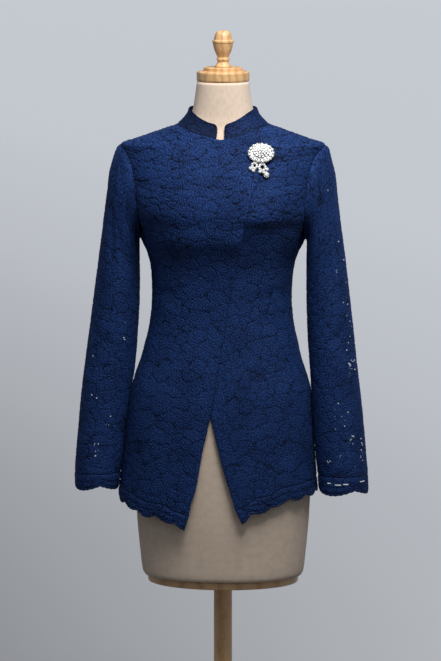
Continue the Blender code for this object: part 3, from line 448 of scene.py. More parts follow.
def spread_of(wrap, height):
    """Flat distance across for an angle: by its sine above the underarm, by the angle below."""
    share = 1 - ease(ROUND_BELOW, FLAT_ABOVE, height)
    return body(height, 4) + body(height, 1) * ((1 - share) * np.sin(wrap) + share * wrap / (np.pi / 2))


def wrap_of(spread, height):
    """The angle that has this flat distance across, closed in on by halves."""
    low = np.full(np.shape(spread), -np.pi / 2)
    high = np.full(np.shape(spread), np.pi / 2)
    share = 1 - ease(ROUND_BELOW, FLAT_ABOVE, height)
    shift, half_width = body(height, 4), body(height, 1)
    for halving in range(HALVINGS):
        middle = (low + high) / 2
        by_sine, by_angle = (1 - share) * np.sin(middle), share * middle / (np.pi / 2)
        less = shift + half_width * (by_sine + by_angle) < spread
        low = np.where(less, middle, low)
        high = np.where(less, high, middle)
    return (low + high) / 2


def wrap_across(across, height):
    return np.arcsin(np.clip((across - body(height, 4)) / body(height, 1), -1, 1))


def by_length(spread, height, back, steps):
    """The same line with steps of equal length on the body."""
    points = body_point(wrap_of(spread, height), height, back)
    length = np.concatenate(((0,), np.cumsum(np.linalg.norm(np.diff(points, axis=0), axis=1))))
    at = np.linspace(0, length[-1], steps + 1)
    return np.stack((np.interp(at, length, spread), np.interp(at, length, height)), 1)


def upright_line(rows, low, high, side, back, steps):
    """An edge given by its distance across at each height."""
    height = np.linspace(low, high, FINE_STEPS)
    wrap = wrap_across(table(rows, height), height) * side
    return by_length(spread_of(wrap, height), height, back, steps)


def armhole_line(rows, side, back, steps):
    return upright_line(rows, UNDERARM, SHOULDER_TIP, side, back, steps)


def side_line(low, side, steps):
    height = np.linspace(low, UNDERARM, steps + 1)
    return np.stack((spread_of(side * np.pi / 2 + 0 * height, height), height), 1)


def shoulder_line(side, back, steps):
    height = np.linspace(NECK_SIDE, SHOULDER_TIP, FINE_STEPS)
    return by_length(spread_of(side * np.pi / 2 + 0 * height, height), height, back, steps)


def hem_line(rows, start, stop, lift, steps):
    share = np.linspace(start, stop, steps + 1)
    height = table(rows, share) + lift
    return np.stack((spread_of(share * np.pi / 2, height), height), 1)


def joined(*lines):
    return np.concatenate([lines[0]] + [line[1:] for line in lines[1:]])


def panel(left, right, bottom, top):
    """Cloth between four edge lines, laid on the body: angles and heights of its grid."""
    v = np.linspace(0, 1, len(left))[:, None, None]
    u = np.linspace(0, 1, len(bottom))[None, :, None]
    low = (1 - u) * left[0] + u * right[0]
    high = (1 - u) * left[-1] + u * right[-1]
    grid = (1 - u) * left[:, None] + u * right[:, None] + (1 - v) * bottom[None] + v * top[None]
    grid = grid - (1 - v) * low - v * high
    return wrap_of(grid[..., 0], grid[..., 1]), grid[..., 1]


def round_the_body(wrap, height, back):
    """Length of cloth from the middle of the body to each angle, at its own height."""
    heights = np.linspace(BODY[0, 0], BODY[-1, 0], GIRTH_LEVELS)
    wraps = np.linspace(0, np.pi / 2, GIRTH_STEPS)
    points = body_point(*np.meshgrid(wraps, heights), back)
    steps = np.linalg.norm(np.diff(points, axis=1), axis=2)
    length = np.concatenate((np.zeros((len(heights), 1)), np.cumsum(steps, 1)), 1)
    row = (height - heights[0]) / (heights[1] - heights[0])
    column = np.abs(wrap) / wraps[1]
    return np.sign(wrap) * read_grid(length, row, column)


def read_grid(values, row, column):
    """Value between the four nearest cells of a grid."""
    row = np.clip(row, 0, values.shape[0] - 1.001)
    column = np.clip(column, 0, values.shape[1] - 1.001)
    i, j = row.astype(int), column.astype(int)
    a, b = row - i, column - j
    near = values[i, j] * (1 - b) + values[i, j + 1] * b
    return near * (1 - a) + (values[i + 1, j] * (1 - b) + values[i + 1, j + 1] * b) * a


# The lace is worked out once on a square that repeats, in steps of half a millimetre.
REPEAT = 0.512
REPEAT_CELLS = 1024
FLOWERS_ACROSS, FLOWERS_UP = 5, 6
# petals in a ring, ring radius, weight of its cells
FLOWER_RINGS = ((1, 0.0, 0.88), (6, 0.0185, 0.95), (9, 0.0385, 1.06))
# pitch and looseness of a noise
CORD_NOISE, BROAD_NOISE, WIDE_NOISE = (0.0046, 0.42), (0.030, 0.5), (0.085, 0.5)
# pitch, looseness and reach of the wander in a petal's outline
WANDERS = ((0.034, 0.5, 0.0022), (0.010, 0.5, 0.0010))
PETAL_REACH = 0.052
# how unevenly flowers and petals are set: share of a pitch, share of a turn's step, share of
# a ring's radius from and to
FLOWER_STRAY, PETAL_STRAY, RADIUS_STRAY = 0.16, 0.14, (0.92, 1.08)
FAR_OFF = 9.0
PETAL_LINE_HALF = 0.0013
# how strongly a petal line is sunk: the least and what is added, along it and over the chest
LINE_STRENGTH, LINE_OVER_CHEST = (0.40, 0.60), (0.55, 0.45)
CORD_SHARE, PUFF_SHARE = 0.5, 0.35
# how much wider and taller the petals are over the chest, from which height and how gently
CHEST_WIDER, CHEST_TALLER, CHEST_FROM, CHEST_BLEND = 0.35, 0.8, 1.195, 0.03
# Paleness of the lace: its net, painted light on raised cords and petals, random tone by petal and by
# place, and painted shade in the gaps between cords and in the sunk petal lines.
PALE_NET, PAINTED_LIGHT_ON_CORD, PAINTED_LIGHT_ON_PUFF, PALE_BY_PETAL, PALE_BY_PLACE = 0.54, 0.17, 0.04, 0.05, 0.03
PAINTED_SHADE_IN_GAP, PAINTED_SHADE_IN_LINE = 0.15, 0.60
chance = np.random.default_rng(41)


def even_noise(pitch, looseness):
    """Noise whose bumps are about one pitch apart."""
    across = np.fft.fftfreq(REPEAT_CELLS, REPEAT / REPEAT_CELLS)
    up = np.fft.rfftfreq(REPEAT_CELLS, REPEAT / REPEAT_CELLS)
    rate = np.hypot(across[:, None], up[None])
    keep = np.exp(-(((rate - 1 / pitch) * pitch / looseness) ** 2))
    made = np.fft.irfft2(np.fft.rfft2(chance.standard_normal((REPEAT_CELLS, REPEAT_CELLS))) * keep)
    return made / made.std()


def petal_cells():
    """How far each place is from the line between two petals, and a number for its petal."""
    step = REPEAT / REPEAT_CELLS
    nearest = np.full((REPEAT_CELLS, REPEAT_CELLS), FAR_OFF)
    second = np.full((REPEAT_CELLS, REPEAT_CELLS), FAR_OFF)
    shade = np.zeros((REPEAT_CELLS, REPEAT_CELLS))
    warp_up, warp_across = (
        sum(even_noise(pitch, looseness) * reach for pitch, looseness, reach in WANDERS)
        for direction in ("up", "across")
    )
    reach = int(PETAL_REACH / step)
    window = np.arange(-reach, reach + 1)
    for row in range(FLOWERS_UP):
        for column in range(FLOWERS_ACROSS):
            middle = np.array((row + 0.5 * (column % 2), column + 0.0))
            middle = middle + chance.uniform(-FLOWER_STRAY, FLOWER_STRAY, 2)
            middle = middle * (REPEAT / FLOWERS_UP, REPEAT / FLOWERS_ACROSS)
            start = chance.uniform(0, 2 * np.pi)
            for count, radius, weight in FLOWER_RINGS:
                for petal in range(count):
                    turn = start + (petal + chance.uniform(-PETAL_STRAY, PETAL_STRAY)) * 2 * np.pi / count
                    far = radius * chance.uniform(*RADIUS_STRAY)
                    place = middle + far * np.array((np.sin(turn), np.cos(turn)))
                    cell = np.round(place / step).astype(int)
                    rows = ((cell[0] + window) % REPEAT_CELLS)[:, None]
                    columns = ((cell[1] + window) % REPEAT_CELLS)[None]
                    up = (cell[0] + window)[:, None] * step - place[0] + warp_up[rows, columns]
                    across = (cell[1] + window)[None] * step - place[1] + warp_across[rows, columns]
                    far = np.hypot(up, across) / weight
                    was = nearest[rows, columns]
                    closer = far < was
                    second[rows, columns] = np.where(closer, was, np.minimum(second[rows, columns], far))
                    nearest[rows, columns] = np.where(closer, far, was)
                    tint = chance.uniform(0, 1)
                    shade[rows, columns] = np.where(closer, tint, shade[rows, columns])
    return second - nearest, shade


cord_noise = even_noise(*CORD_NOISE)
broad_noise = even_noise(*BROAD_NOISE)
wide_noise = even_noise(*WIDE_NOISE)
petal_line, petal_shade = petal_cells()


def on_repeat(values, across, up):
    """Reads the repeating square at places on the cloth."""
    step = REPEAT / REPEAT_CELLS
    row, column = up / step, across / step
    i, j = np.floor(row).astype(int), np.floor(column).astype(int)
    a, b = row - i, column - j
    i, j = i % REPEAT_CELLS, j % REPEAT_CELLS
    k, m = (i + 1) % REPEAT_CELLS, (j + 1) % REPEAT_CELLS
    near = values[i, j] * (1 - b) + values[i, m] * b
    return near * (1 - a) + (values[k, j] * (1 - b) + values[k, m] * b) * a


def lace(across, up, move, chest=0.0):
    """Height of the lace above its net, and how pale it is, at places on the cloth: paler on raised cords
    and petals as painted light, darker in the gaps between cords and in the sunk petal lines as painted
    shade, with random tone by petal and by place. Over the chest the petals are wider and their lines are
    deeper."""
    cord = on_repeat(cord_noise, across + move[0], up + move[1])
    wide = across / (1 + CHEST_WIDER * chest) + move[0]
    tall = up + move[1]
    if np.max(chest) > 0:
        above = np.clip((up - CHEST_FROM) / CHEST_BLEND, -40, 40)
        tall = tall + CHEST_TALLER * CHEST_BLEND * np.log1p(np.exp(above))
    line = on_repeat(petal_line, wide, tall)
    least, more = LINE_STRENGTH
    strength = least + more * ease(-0.5, 0.9, on_repeat(broad_noise, wide + 0.1, tall))
    least, more = LINE_OVER_CHEST
    sunk = np.exp(-((line / PETAL_LINE_HALF) ** 2)) * strength * (least + more * chest)
    puff = ease(0.0, 0.008, line)
    cord_top = np.tanh(1.1 * cord)
    height = LACE_DEPTH * (CORD_SHARE * cord_top + PUFF_SHARE * puff) - PETAL_LINE_DEPTH * sunk
    # Painted light and shade: paler on raised cords and petals, darker in the gaps between cords and in the
    # sunk petal lines.
    pale = PALE_NET + PAINTED_LIGHT_ON_CORD * cord_top + PAINTED_LIGHT_ON_PUFF * puff
    pale = pale - PAINTED_SHADE_IN_GAP * ease(0.5, 1.8, -cord) - PAINTED_SHADE_IN_LINE * sunk
    pale = pale + PALE_BY_PETAL * (on_repeat(petal_shade, wide, tall) - 0.5)
    pale = pale + PALE_BY_PLACE * on_repeat(wide_noise, wide, tall)
    return height, np.clip(pale, 0, 1)


def creased(across, up, folds):
    """Soft ridges and troughs along short lines: from, to, half width and height of each."""
    height = np.zeros(np.shape(across))
    for from_across, from_up, to_across, to_up, half_width, rise in folds:
        run = np.array((to_across - from_across, to_up - from_up))
        length = np.hypot(*run)
        along = ((across - from_across) * run[0] + (up - from_up) * run[1]) / length ** 2
        aside = ((up - from_up) * run[0] - (across - from_across) * run[1]) / length
        ends = ease(-0.25, 0.3, along) * (1 - ease(0.7, 1.25, along))
        height += rise * ends * np.exp(-((aside / half_width) ** 2))
    return height


def fallen(shape, cell, edges):
    """0 at the named edges of a grid, 1 a few millimetres inside them."""
    row = np.arange(shape[0])[:, None] + np.zeros(shape)
    column = np.arange(shape[1])[None] + np.zeros(shape)
    far = np.full(shape, 99.0)
    for edge, steps in (
        ("low", row), ("high", shape[0] - 1 - row), ("first", column), ("last", shape[1] - 1 - column),
    ):
        if edge in edges:
            far = np.minimum(far, steps * cell)
    return 1 - np.exp(-((far / SEAM_FALL) ** 1.5))


# how pale, colour
LACE_COLOURS = (
    (0.05, (0.0008, 0.0024, 0.0085)),
    (0.32, (0.0038, 0.0130, 0.0500)),
    (0.58, (0.0092, 0.0310, 0.1230)),
    (0.95, (0.0200, 0.0610, 0.2150)),
)
NET_COLOUR = (0.110, 0.160, 0.270, 1)
THREAD_SHADE, THREAD_MEAN = 1.30, 0.67


def lace_finish(name, pinholes=False):
    """Navy cord and net: pale cord tops and near-black sunk lines as painted light and shade, a soft thread
    bump and sheen.
    """
    made, tree, shader = finish_of(name, (0.015, 0.035, 0.12), 0.72)
    shader.inputs["Specular IOR Level"].default_value = 0.10
    shader.inputs["Sheen Weight"].default_value = 0.06
    shader.inputs["Sheen Roughness"].default_value = 0.45
    shader.inputs["Sheen Tint"].default_value = (0.20, 0.38, 0.95, 1)
    pale = node(tree, "ShaderNodeAttribute", attribute_name="pale").outputs["Fac"]
    place = node(tree, "ShaderNodeUVMap", uv_map="on_cloth").outputs["UV"]
    thread = node(tree, "ShaderNodeTexNoise", [
        ("Vector", place), ("Scale", 290.0), ("Detail", 3.0), ("Roughness", 0.6),
    ]).outputs["Fac"]
    twist = node(tree, "ShaderNodeTexVoronoi", [
        ("Vector", place), ("Scale", 360.0),
    ]).outputs["Distance"]
    mixed = node(tree, "ShaderNodeMath", [
        (0, thread), (1, THREAD_SHADE), (2, pale),
    ], operation="MULTIPLY_ADD")
    level = node(tree, "ShaderNodeMath", [
        (0, mixed.outputs[0]), (1, THREAD_MEAN),
    ], operation="SUBTRACT")
    colour = ramp(tree, level.outputs[0], LACE_COLOURS)
    tree.links.new(colour, shader.inputs["Base Color"])
    bump = node(tree, "ShaderNodeBump", [("Height", thread), ("Strength", 0.9), ("Distance", 0.0010)])
    fine = node(tree, "ShaderNodeBump", [
        ("Height", twist), ("Strength", 0.35), ("Distance", 0.0005), ("Normal", bump.outputs["Normal"]),
    ])
    tree.links.new(fine.outputs["Normal"], shader.inputs["Normal"])
    if pinholes:
        opening = node(tree, "ShaderNodeAttribute", attribute_name="openwork").outputs["Fac"]
        bare = node(tree, "ShaderNodeMapRange", [
            ("Value", opening), ("From Min", 0.22), ("From Max", 0.46), ("To Max", 0.85),
        ])
        net = node(tree, "ShaderNodeMix", [(0, bare.outputs[0]), (6, colour)], data_type="RGBA")
        net.inputs[7].default_value = NET_COLOUR
        tree.links.new(net.outputs[2], shader.inputs["Base Color"])
        shut = node(tree, "ShaderNodeMath", [(0, opening), (1, 0.5)], operation="LESS_THAN")
        tree.links.new(shut.outputs[0], shader.inputs["Alpha"])
    return made


navy_lace = lace_finish("navy_corded_lace")


def grid_outward(points, ring):
    """Directions square to a grid of points."""
    if ring:
        round_it = np.roll(points, -1, 1) - np.roll(points, 1, 1)
    else:
        round_it = np.gradient(points, axis=1)
    out = np.cross(round_it, np.gradient(points, axis=0))
    return out / np.linalg.norm(out, axis=-1, keepdims=True)


def lace_piece(name, points, outward, height, pale, places, ring=False, finish=None):
    """Thin closed cloth: a finely worked face, a plainer back, and a narrow edge between them."""
    rows, columns = points.shape[:2]
    face = (points + outward * height[..., None]).reshape(-1, 3)
    back_rows = np.arange(0, rows, COARSER)
    back_columns = np.arange(0, columns, COARSER)
    kept = np.ix_(back_rows, back_columns)
    behind = points[kept] - outward[kept] * WALL_BEHIND
    few_rows, few_columns = behind.shape[:2]
    shift = rows * columns

    def quads(high, wide, start, flipped):
        last = wide if ring else wide - 1
        row, column = np.meshgrid(np.arange(high - 1), np.arange(last), indexing="ij")
        a, b = row * wide + column, row * wide + (column + 1) % wide
        found = np.stack((a, b, b + wide, a + wide), -1).reshape(-1, 4) + start
        return found[:, ::-1] if flipped else found

    def rim(fine, coarse, flipped):
        """Joins an edge of the face to the coarser edge of the back."""
        found = []
        for step in range(len(coarse) - 1):
            part = fine[step * COARSER : step * COARSER + COARSER + 1]
            half = COARSER // 2
            found += [(part[k], part[k + 1], coarse[step]) for k in range(half)]
            found += [(part[half], coarse[step + 1], coarse[step])]
            found += [(part[k], part[k + 1], coarse[step + 1]) for k in range(half, COARSER)]
        found = np.array(found)
        return found[:, ::-1] if flipped else found

    faces = [quads(rows, columns, 0, False), quads(few_rows, few_columns, shift, True)]
    face_at = np.arange(rows * columns).reshape(rows, columns)
    back_at = np.arange(few_rows * few_columns).reshape(few_rows, few_columns) + shift
    if ring:
        face_at = np.concatenate((face_at, face_at[:, :1]), 1)
        back_at = np.concatenate((back_at, back_at[:, :1]), 1)
    faces.append(rim(face_at[0], back_at[0], True))
    faces.append(rim(face_at[-1], back_at[-1], False))
    if not ring:
        faces.append(rim(face_at[:, 0], back_at[:, 0], False))
        faces.append(rim(face_at[:, -1], back_at[:, -1], True))
    places = np.concatenate((places.reshape(-1, 2), places[kept].reshape(-1, 2)))
    made = shown(name, np.concatenate((face, behind.reshape(-1, 3))), faces, finish or navy_lace, uv=places)
    paleness = np.concatenate((pale.ravel(), np.full(behind.size // 3, BEHIND_PALE)))
    layer = made.data.attributes.new("pale", "FLOAT", "POINT")
    layer.data.foreach_set("value", paleness.astype(np.float32))
    return made


def cut_and_hung(made, stands_for):
    """States what holds a piece of cloth and which solids it stands for."""
    fixed(made, "navy_lace", stands_for)


def lace_panel(node_name, cell, move, folds, wrap, height, back, fuller=None):
    """A panel of the body, creased and worked in lace. Gives its points and how far they rise."""
    points = body_point(wrap, height, back)
    out = body_outward(wrap, height, back)
    across = round_the_body(wrap, height, back)
    relief, pale = lace(across, height, move, ease(CHEST_STARTS, CHEST_FULL, height))
    fall = fallen(across.shape, cell, ("low", "high", "first", "last"))
    rise = creased(across, height, folds)
    if fuller:
        rise = rise + fuller(points[..., 0], across, height)
    points = points + out * rise[..., None]
    made = lace_piece(
        "lace_" + node_name, points, out, (relief + LACE_RISE) * fall,
        pale * (EDGE_PALE + (1 - EDGE_PALE) * fall), np.stack((across, height), -1),
    )
    cut_and_hung(made, node_name)
    return points, rise


share = np.linspace(-1, 1, NECK_FINE_STEPS)
neck_height = table(BACK_NECK, 1 - np.abs(share))
back_neck = by_length(spread_of(share * np.pi / 2, neck_height), neck_height, True, BACK_NECK_COLUMNS)
back_bottom = hem_line(BACK_HEM, -1.0, 1.0, STRIP_WIDTH, BACK_NECK_COLUMNS + 2 * BACK_SHOULDER_COLUMNS)
back_sides = [
    joined(
        side_line(back_bottom[end, 1], side, BACK_ROWS_BELOW),
        armhole_line(BACK_ARMHOLE, side, True, BACK_ROWS_BESIDE),
    )
    for side, end in ((-1, 0), (1, -1))
]
back_top = joined(
    shoulder_line(-1, True, BACK_SHOULDER_COLUMNS)[::-1],
    back_neck,
    shoulder_line(1, True, BACK_SHOULDER_COLUMNS),
)
back_wrap, back_height = panel(*back_sides, back_bottom, back_top)
# from across, from up, to across, to up, half width, rise
BACK_CREASES = (
    (-0.150, 1.245, -0.055, 1.180, 0.012, -0.0016),
    (0.148, 1.250, 0.060, 1.190, 0.013, -0.0018),
    (-0.100, 1.075, 0.010, 1.060, 0.010, -0.0014),
    (0.105, 1.085, 0.020, 1.066, 0.011, -0.0012),
    (-0.080, 1.035, 0.060, 1.022, 0.012, 0.0012),
    (0.070, 0.900, 0.085, 0.720, 0.030, 0.0018),
    (-0.085, 0.890, -0.100, 0.720, 0.028, 0.0016),
)
back_points, back_rise = lace_panel(
    "back", BACK_CELL, (0.05, 0.11), BACK_CREASES, back_wrap, back_height, True
)


# Left front. The under front: the same lace, its free edge tucked out of sight beneath the
# other front down to the slit, below which it slants away to its own hem point.
FRONT_ROWS_BELOW, FRONT_ROWS_BESIDE = 336, 132
TUCK_COLUMNS, NECK_COLUMNS, SHOULDER_COLUMNS = 12, 76, 52
FRONT_CELL = 0.0017
EDGE_BREAK = 1.120
LEFT_POINT_LEVEL = 0.6400
LAP_STEP, LAP_FLAT, LAP_RISE = 0.0026, 0.004, 0.030
LAP_FADES_BELOW, LAP_WHOLE_ABOVE = 0.745, 0.830
# height, distance across
UNDERLAP_EDGE = np.array((
    (0.6350, 0.0470), (0.6623, 0.0317), (0.6813, 0.0262), (0.7040, 0.0190), (0.7275, 0.0116),
    (0.7607, 0.0025), (0.7909, -0.0048), (0.8407, -0.0160), (0.8700, -0.0225), (0.9200, -0.0280),
    (1.0000, -0.0280), (1.1000, -0.0240), (1.2000, -0.0180), (1.3000, -0.0120), (1.3585, -0.0080),
))
OVERLAP_EDGE = np.array((
    (0.6200, -0.0685), (0.6363, -0.0596), (0.6764, -0.0515), (0.6974, -0.0442), (0.7355, -0.0371),
    (0.7810, -0.0291), (0.8057, -0.0229), (0.8407, -0.0160), (0.8717, -0.0111), (0.9316, -0.0016),
    (0.9809, 0.0075), (1.0442, 0.0166), (1.1204, 0.0326), (1.1747, 0.0430), (1.2092, 0.0512),
    (1.2377, 0.0570), (1.2651, 0.0642), (1.2772, 0.0703), (1.2926, 0.0760), (1.3100, 0.0792),
    (1.3250, 0.0800),
))
FRONT_ARMHOLE = np.array((
    (1.163, 0.1540), (1.170, 0.1553), (1.208, 0.1560), (1.245, 0.1580),
    (1.271, 0.1606), (1.294, 0.1650), (1.3256, 0.1762), (1.343, 0.1930),
))
# distance across, height
FLAP_TOP = np.array((
    (-0.0075, 1.3597), (-0.0023, 1.3589), (0.0017, 1.3508), (0.0112, 1.3464), (0.0234, 1.3425),
    (0.0375, 1.3425), (0.0477, 1.3390), (0.0660, 1.3345), (0.0800, 1.3250),
))
FRONT_NECK = np.array((
    (0.0075, 1.3597), (0.0255, 1.3640), (0.0405, 1.3668), (0.0528, 1.3705),
    (0.0668, 1.3765), (0.0800, 1.3798), (0.0870, 1.3805),
))
BUST_LEVEL, BUST_ACROSS, BUST_WIDTH = 1.2150, 0.088, 0.047
BUST_ABOVE, BUST_BELOW = 0.050, 0.0165
RIGHT_BUST_RISE, LEFT_BUST_RISE, BUST_CHANGES = 0.0030, 0.0095, (-0.02, 0.04)
# share of the way to the side seam, height
LEFT_HEM = np.array((
    (0.150, 0.6380), (0.187, 0.6410), (0.264, 0.6570), (0.359, 0.6620), (0.482, 0.6760),
    (0.600, 0.6790), (0.754, 0.6820), (0.860, 0.6830), (1.000, 0.6850),
))
# from across, from up, to across, to up, half width, rise
LEFT_FRONT_CREASES = (
    (0.196, 1.205, 0.176, 1.150, 0.011, -0.0060),
    (0.150, 1.262, 0.118, 1.330, 0.011, -0.0018),
    (0.128, 1.230, 0.112, 1.300, 0.012, 0.0014),
    (0.165, 1.185, 0.110, 1.205, 0.012, -0.0016),
    (0.150, 1.080, 0.075, 1.062, 0.011, -0.0014),
    (0.140, 1.045, 0.060, 1.030, 0.012, 0.0012),
    (0.120, 0.930, 0.150, 0.740, 0.026, 0.0016),
)


def across_line(rows, start, stop, side, steps):
    """An edge given by its height at each distance across."""
    across = np.linspace(start, stop, FINE_STEPS)
    height = table(rows, across)
    return by_length(spread_of(wrap_across(side * across, height), height), height, False, steps)


def start_share(edge, level):
    """How far round, towards the side seam, an edge lies at a level."""
    return wrap_across(table(edge, level), level) / (np.pi / 2)


def lap_depth(across, height):
    """How far the left front is pressed in where the right front lies over it."""
    edge = np.where(height > FLAP_TOP[-1, 1], FLAP_TOP[-1, 0], table(OVERLAP_EDGE, height))
    past_edge = across - edge
    past_top = height - table(FLAP_TOP, across)
    rise = ease(LAP_FLAT, LAP_FLAT + LAP_RISE, np.maximum(past_edge, past_top))
    return LAP_STEP * (1 - rise) * ease(LAP_FADES_BELOW, LAP_WHOLE_ABOVE, height)


def bust(across, height):
    """Fullness that the cut gives over each side of the chest, more on the lapped side, and
    dropping away sharply beneath."""
    rise = RIGHT_BUST_RISE + (LEFT_BUST_RISE - RIGHT_BUST_RISE) * ease(*BUST_CHANGES, across)
    aside = np.exp(-(((np.abs(across) - BUST_ACROSS) / BUST_WIDTH) ** 2))
    reach = np.where(height > BUST_LEVEL, BUST_ABOVE, BUST_BELOW)
    return rise * aside * np.exp(-(((height - BUST_LEVEL) / reach) ** 2))


def front_grid(edge, hem, point_level, side, first_top):
    """Grid of a front, from its free edge out to the side seam and the armhole."""
    columns = len(first_top) - 1 + NECK_COLUMNS + SHOULDER_COLUMNS
    start = start_share(edge, table(hem, start_share(edge, point_level)) + STRIP_WIDTH)
    bottom = hem_line(hem, start, side, STRIP_WIDTH, columns)
    free = joined(
        upright_line(edge, bottom[0, 1], EDGE_BREAK, 1.0, False, FRONT_ROWS_BELOW),
        upright_line(edge, EDGE_BREAK, edge[-1, 0], 1.0, False, FRONT_ROWS_BESIDE),
    )
    bottom[0] = free[0]
    outer = joined(
        side_line(bottom[-1, 1], side, FRONT_ROWS_BELOW),
        armhole_line(FRONT_ARMHOLE, side, False, FRONT_ROWS_BESIDE),
    )
    top = joined(first_top, front_neck(side), shoulder_line(side, False, SHOULDER_COLUMNS))
    return panel(free, outer, bottom, top)


def front_neck(side):
    return across_line(FRONT_NECK, FRONT_NECK[0, 0], FRONT_NECK[-1, 0], side, NECK_COLUMNS)


def left_fullness(across, round_it, height):
    return bust(round_it, height) - lap_depth(across, height)


tuck_corner = UNDERLAP_EDGE[-1, ::-1]
tuck = tuck_corner + (front_neck(1.0)[0] - tuck_corner) * np.linspace(0, 1, TUCK_COLUMNS + 1)[:, None]
left_wrap, left_height = front_grid(UNDERLAP_EDGE, LEFT_HEM, LEFT_POINT_LEVEL, 1.0, tuck)
left_points, left_rise = lace_panel(
    "left_front", FRONT_CELL, (0.31, 0.24), LEFT_FRONT_CREASES,
    left_wrap, left_height, False, left_fullness,
)


# Right front. The outer front: it crosses over to the brooch, and its free edge, turned under
# in a narrow fold, runs slanting down over the waist to the slit and the longer hem point.
FLAP_COLUMNS = 60
RIGHT_POINT_LEVEL = 0.6260
BRIDGE_LEVEL, BRIDGE_REACH, BRIDGE_RISE = 1.1700, 0.0230, 0.0058
BRIDGE_STARTS, BRIDGE_ENDS = (-0.118, -0.070), (0.085, 0.130)
# share of the way to the side seam, height
RIGHT_HEM = np.array((
    (-1.0, 0.6750), (-0.906, 0.6710), (-0.774, 0.6640), (-0.633, 0.6580), (-0.501, 0.6480),
    (-0.358, 0.6440), (-0.274, 0.6350), (-0.192, 0.6270), (-0.150, 0.6240),
))
# from across, from up, to across, to up, half width, rise
RIGHT_FRONT_CREASES = (
    (-0.200, 1.222, -0.172, 1.150, 0.014, -0.0060),
    (-0.150, 1.255, -0.120, 1.325, 0.011, -0.0016),
    (-0.165, 1.180, -0.100, 1.212, 0.012, -0.0018),
    (-0.135, 1.160, -0.080, 1.175, 0.011, 0.0012),
    (-0.150, 1.078, -0.080, 1.060, 0.011, -0.0014),
    (-0.140, 1.040, -0.060, 1.028, 0.012, 0.0010),
    (-0.120, 0.930, -0.150, 0.740, 0.026, 0.0016),
    (-0.030, 0.960, -0.045, 0.760, 0.030, 0.0014),
    (0.052, 1.290, 0.020, 1.335, 0.009, -0.0010),
)


def bridge(across, height):
    """The outer front does not follow the hollow below the chest but spans it."""
    middle = ease(*BRIDGE_STARTS, across) * (1 - ease(*BRIDGE_ENDS, across))
    return BRIDGE_RISE * middle * np.exp(-(((height - BRIDGE_LEVEL) / BRIDGE_REACH) ** 2))


def right_fullness(across, round_it, height):
    return bust(round_it, height) + bridge(across, height)


flap = across_line(FLAP_TOP, FLAP_TOP[-1, 0], FLAP_TOP[0, 0], 1.0, FLAP_COLUMNS)
right_wrap, right_height = front_grid(OVERLAP_EDGE, RIGHT_HEM, RIGHT_POINT_LEVEL, -1.0, flap)
right_points, right_rise = lace_panel(
    "right_front", FRONT_CELL, (0.17, 0.38), RIGHT_FRONT_CREASES,
    right_wrap, right_height, False, right_fullness,
)


# Sleeves. Long set-in sleeves of the same lace, a little wider below the elbow. Each is one
# piece closed by a seam on its inner side; its head is eased into the armhole. The net shows
# as scattered pinholes where the cords part, mostly along the outer side of the left sleeve.
SLEEVE_ROWS, SLEEVE_COLUMNS = 356, 176
SLEEVE_CELL, SLEEVE_FINE_STEPS = 0.0017, 900
# share of its paleness that the lace keeps at the edges of a sleeve or a strip
STRIP_EDGE_PALE = 0.88
SIGHT_FROM = np.array((0.5133, -7.4089, 2.0318))
HOLE_SMALL, HOLE_LARGE = 0.0005, 0.0013
HOLE_BEHIND = 0.0075
# outer x, outer height, inner x, inner height, middle y, half depth, share of the armhole shape
LEFT_SLEEVE = np.array((
    (0.1930, 1.3430, 0.1540, 1.1630, 0.000, 0.0600, 1.00),
    (0.1985, 1.3370, 0.1572, 1.1655, 0.000, 0.0600, 0.80),
    (0.2040, 1.3160, 0.1596, 1.1625, 0.000, 0.0595, 0.55),
    (0.2112, 1.2870, 0.1602, 1.1555, 0.000, 0.0585, 0.30),
    (0.2160, 1.2450, 0.1600, 1.1420, -0.001, 0.0565, 0.12),
    (0.2218, 1.1957, 0.1598, 1.1200, -0.002, 0.0545, 0.00),
    (0.2300, 1.1370, 0.1598, 1.0900, -0.003, 0.0525, 0.00),
    (0.2380, 1.0700, 0.1602, 1.0450, -0.004, 0.0510, 0.00),
    (0.2462, 1.0000, 0.1622, 0.9870, -0.006, 0.0495, 0.00),
    (0.2545, 0.9240, 0.1668, 0.9240, -0.008, 0.0490, 0.00),
    (0.2622, 0.8630, 0.1708, 0.8630, -0.011, 0.0480, 0.00),
    (0.2685, 0.8020, 0.1750, 0.8020, -0.014, 0.0475, 0.00),
    (0.2740, 0.7416, 0.1804, 0.7416, -0.017, 0.0475, 0.00),
    (0.2765, 0.7180, 0.1830, 0.7180, -0.018, 0.0478, 0.00),
))
RIGHT_SLEEVE = np.array((
    (-0.1930, 1.3430, -0.1540, 1.1630, 0.000, 0.0600, 1.00),
    (-0.1990, 1.3370, -0.1572, 1.1655, 0.000, 0.0600, 0.80),
    (-0.2060, 1.3200, -0.1596, 1.1625, 0.000, 0.0595, 0.55),
    (-0.2140, 1.2900, -0.1602, 1.1555, 0.000, 0.0585, 0.30),
    (-0.2192, 1.2480, -0.1600, 1.1420, -0.001, 0.0565, 0.12),
    (-0.2255, 1.1990, -0.1598, 1.1200, -0.002, 0.0545, 0.00),
    (-0.2335, 1.1370, -0.1592, 1.0900, -0.003, 0.0525, 0.00),
    (-0.2425, 1.0700, -0.1598, 1.0450, -0.004, 0.0510, 0.00),
    (-0.2515, 1.0000, -0.1630, 0.9870, -0.006, 0.0495, 0.00),
    (-0.2618, 0.9240, -0.1680, 0.9240, -0.008, 0.0480, 0.00),
    (-0.2690, 0.8630, -0.1778, 0.8630, -0.011, 0.0470, 0.00),
    (-0.2745, 0.8020, -0.1850, 0.8020, -0.014, 0.0465, 0.00),
    (-0.2795, 0.7416, -0.1912, 0.7416, -0.017, 0.0465, 0.00),
    (-0.2812, 0.7180, -0.1950, 0.7180, -0.018, 0.0468, 0.00),
))
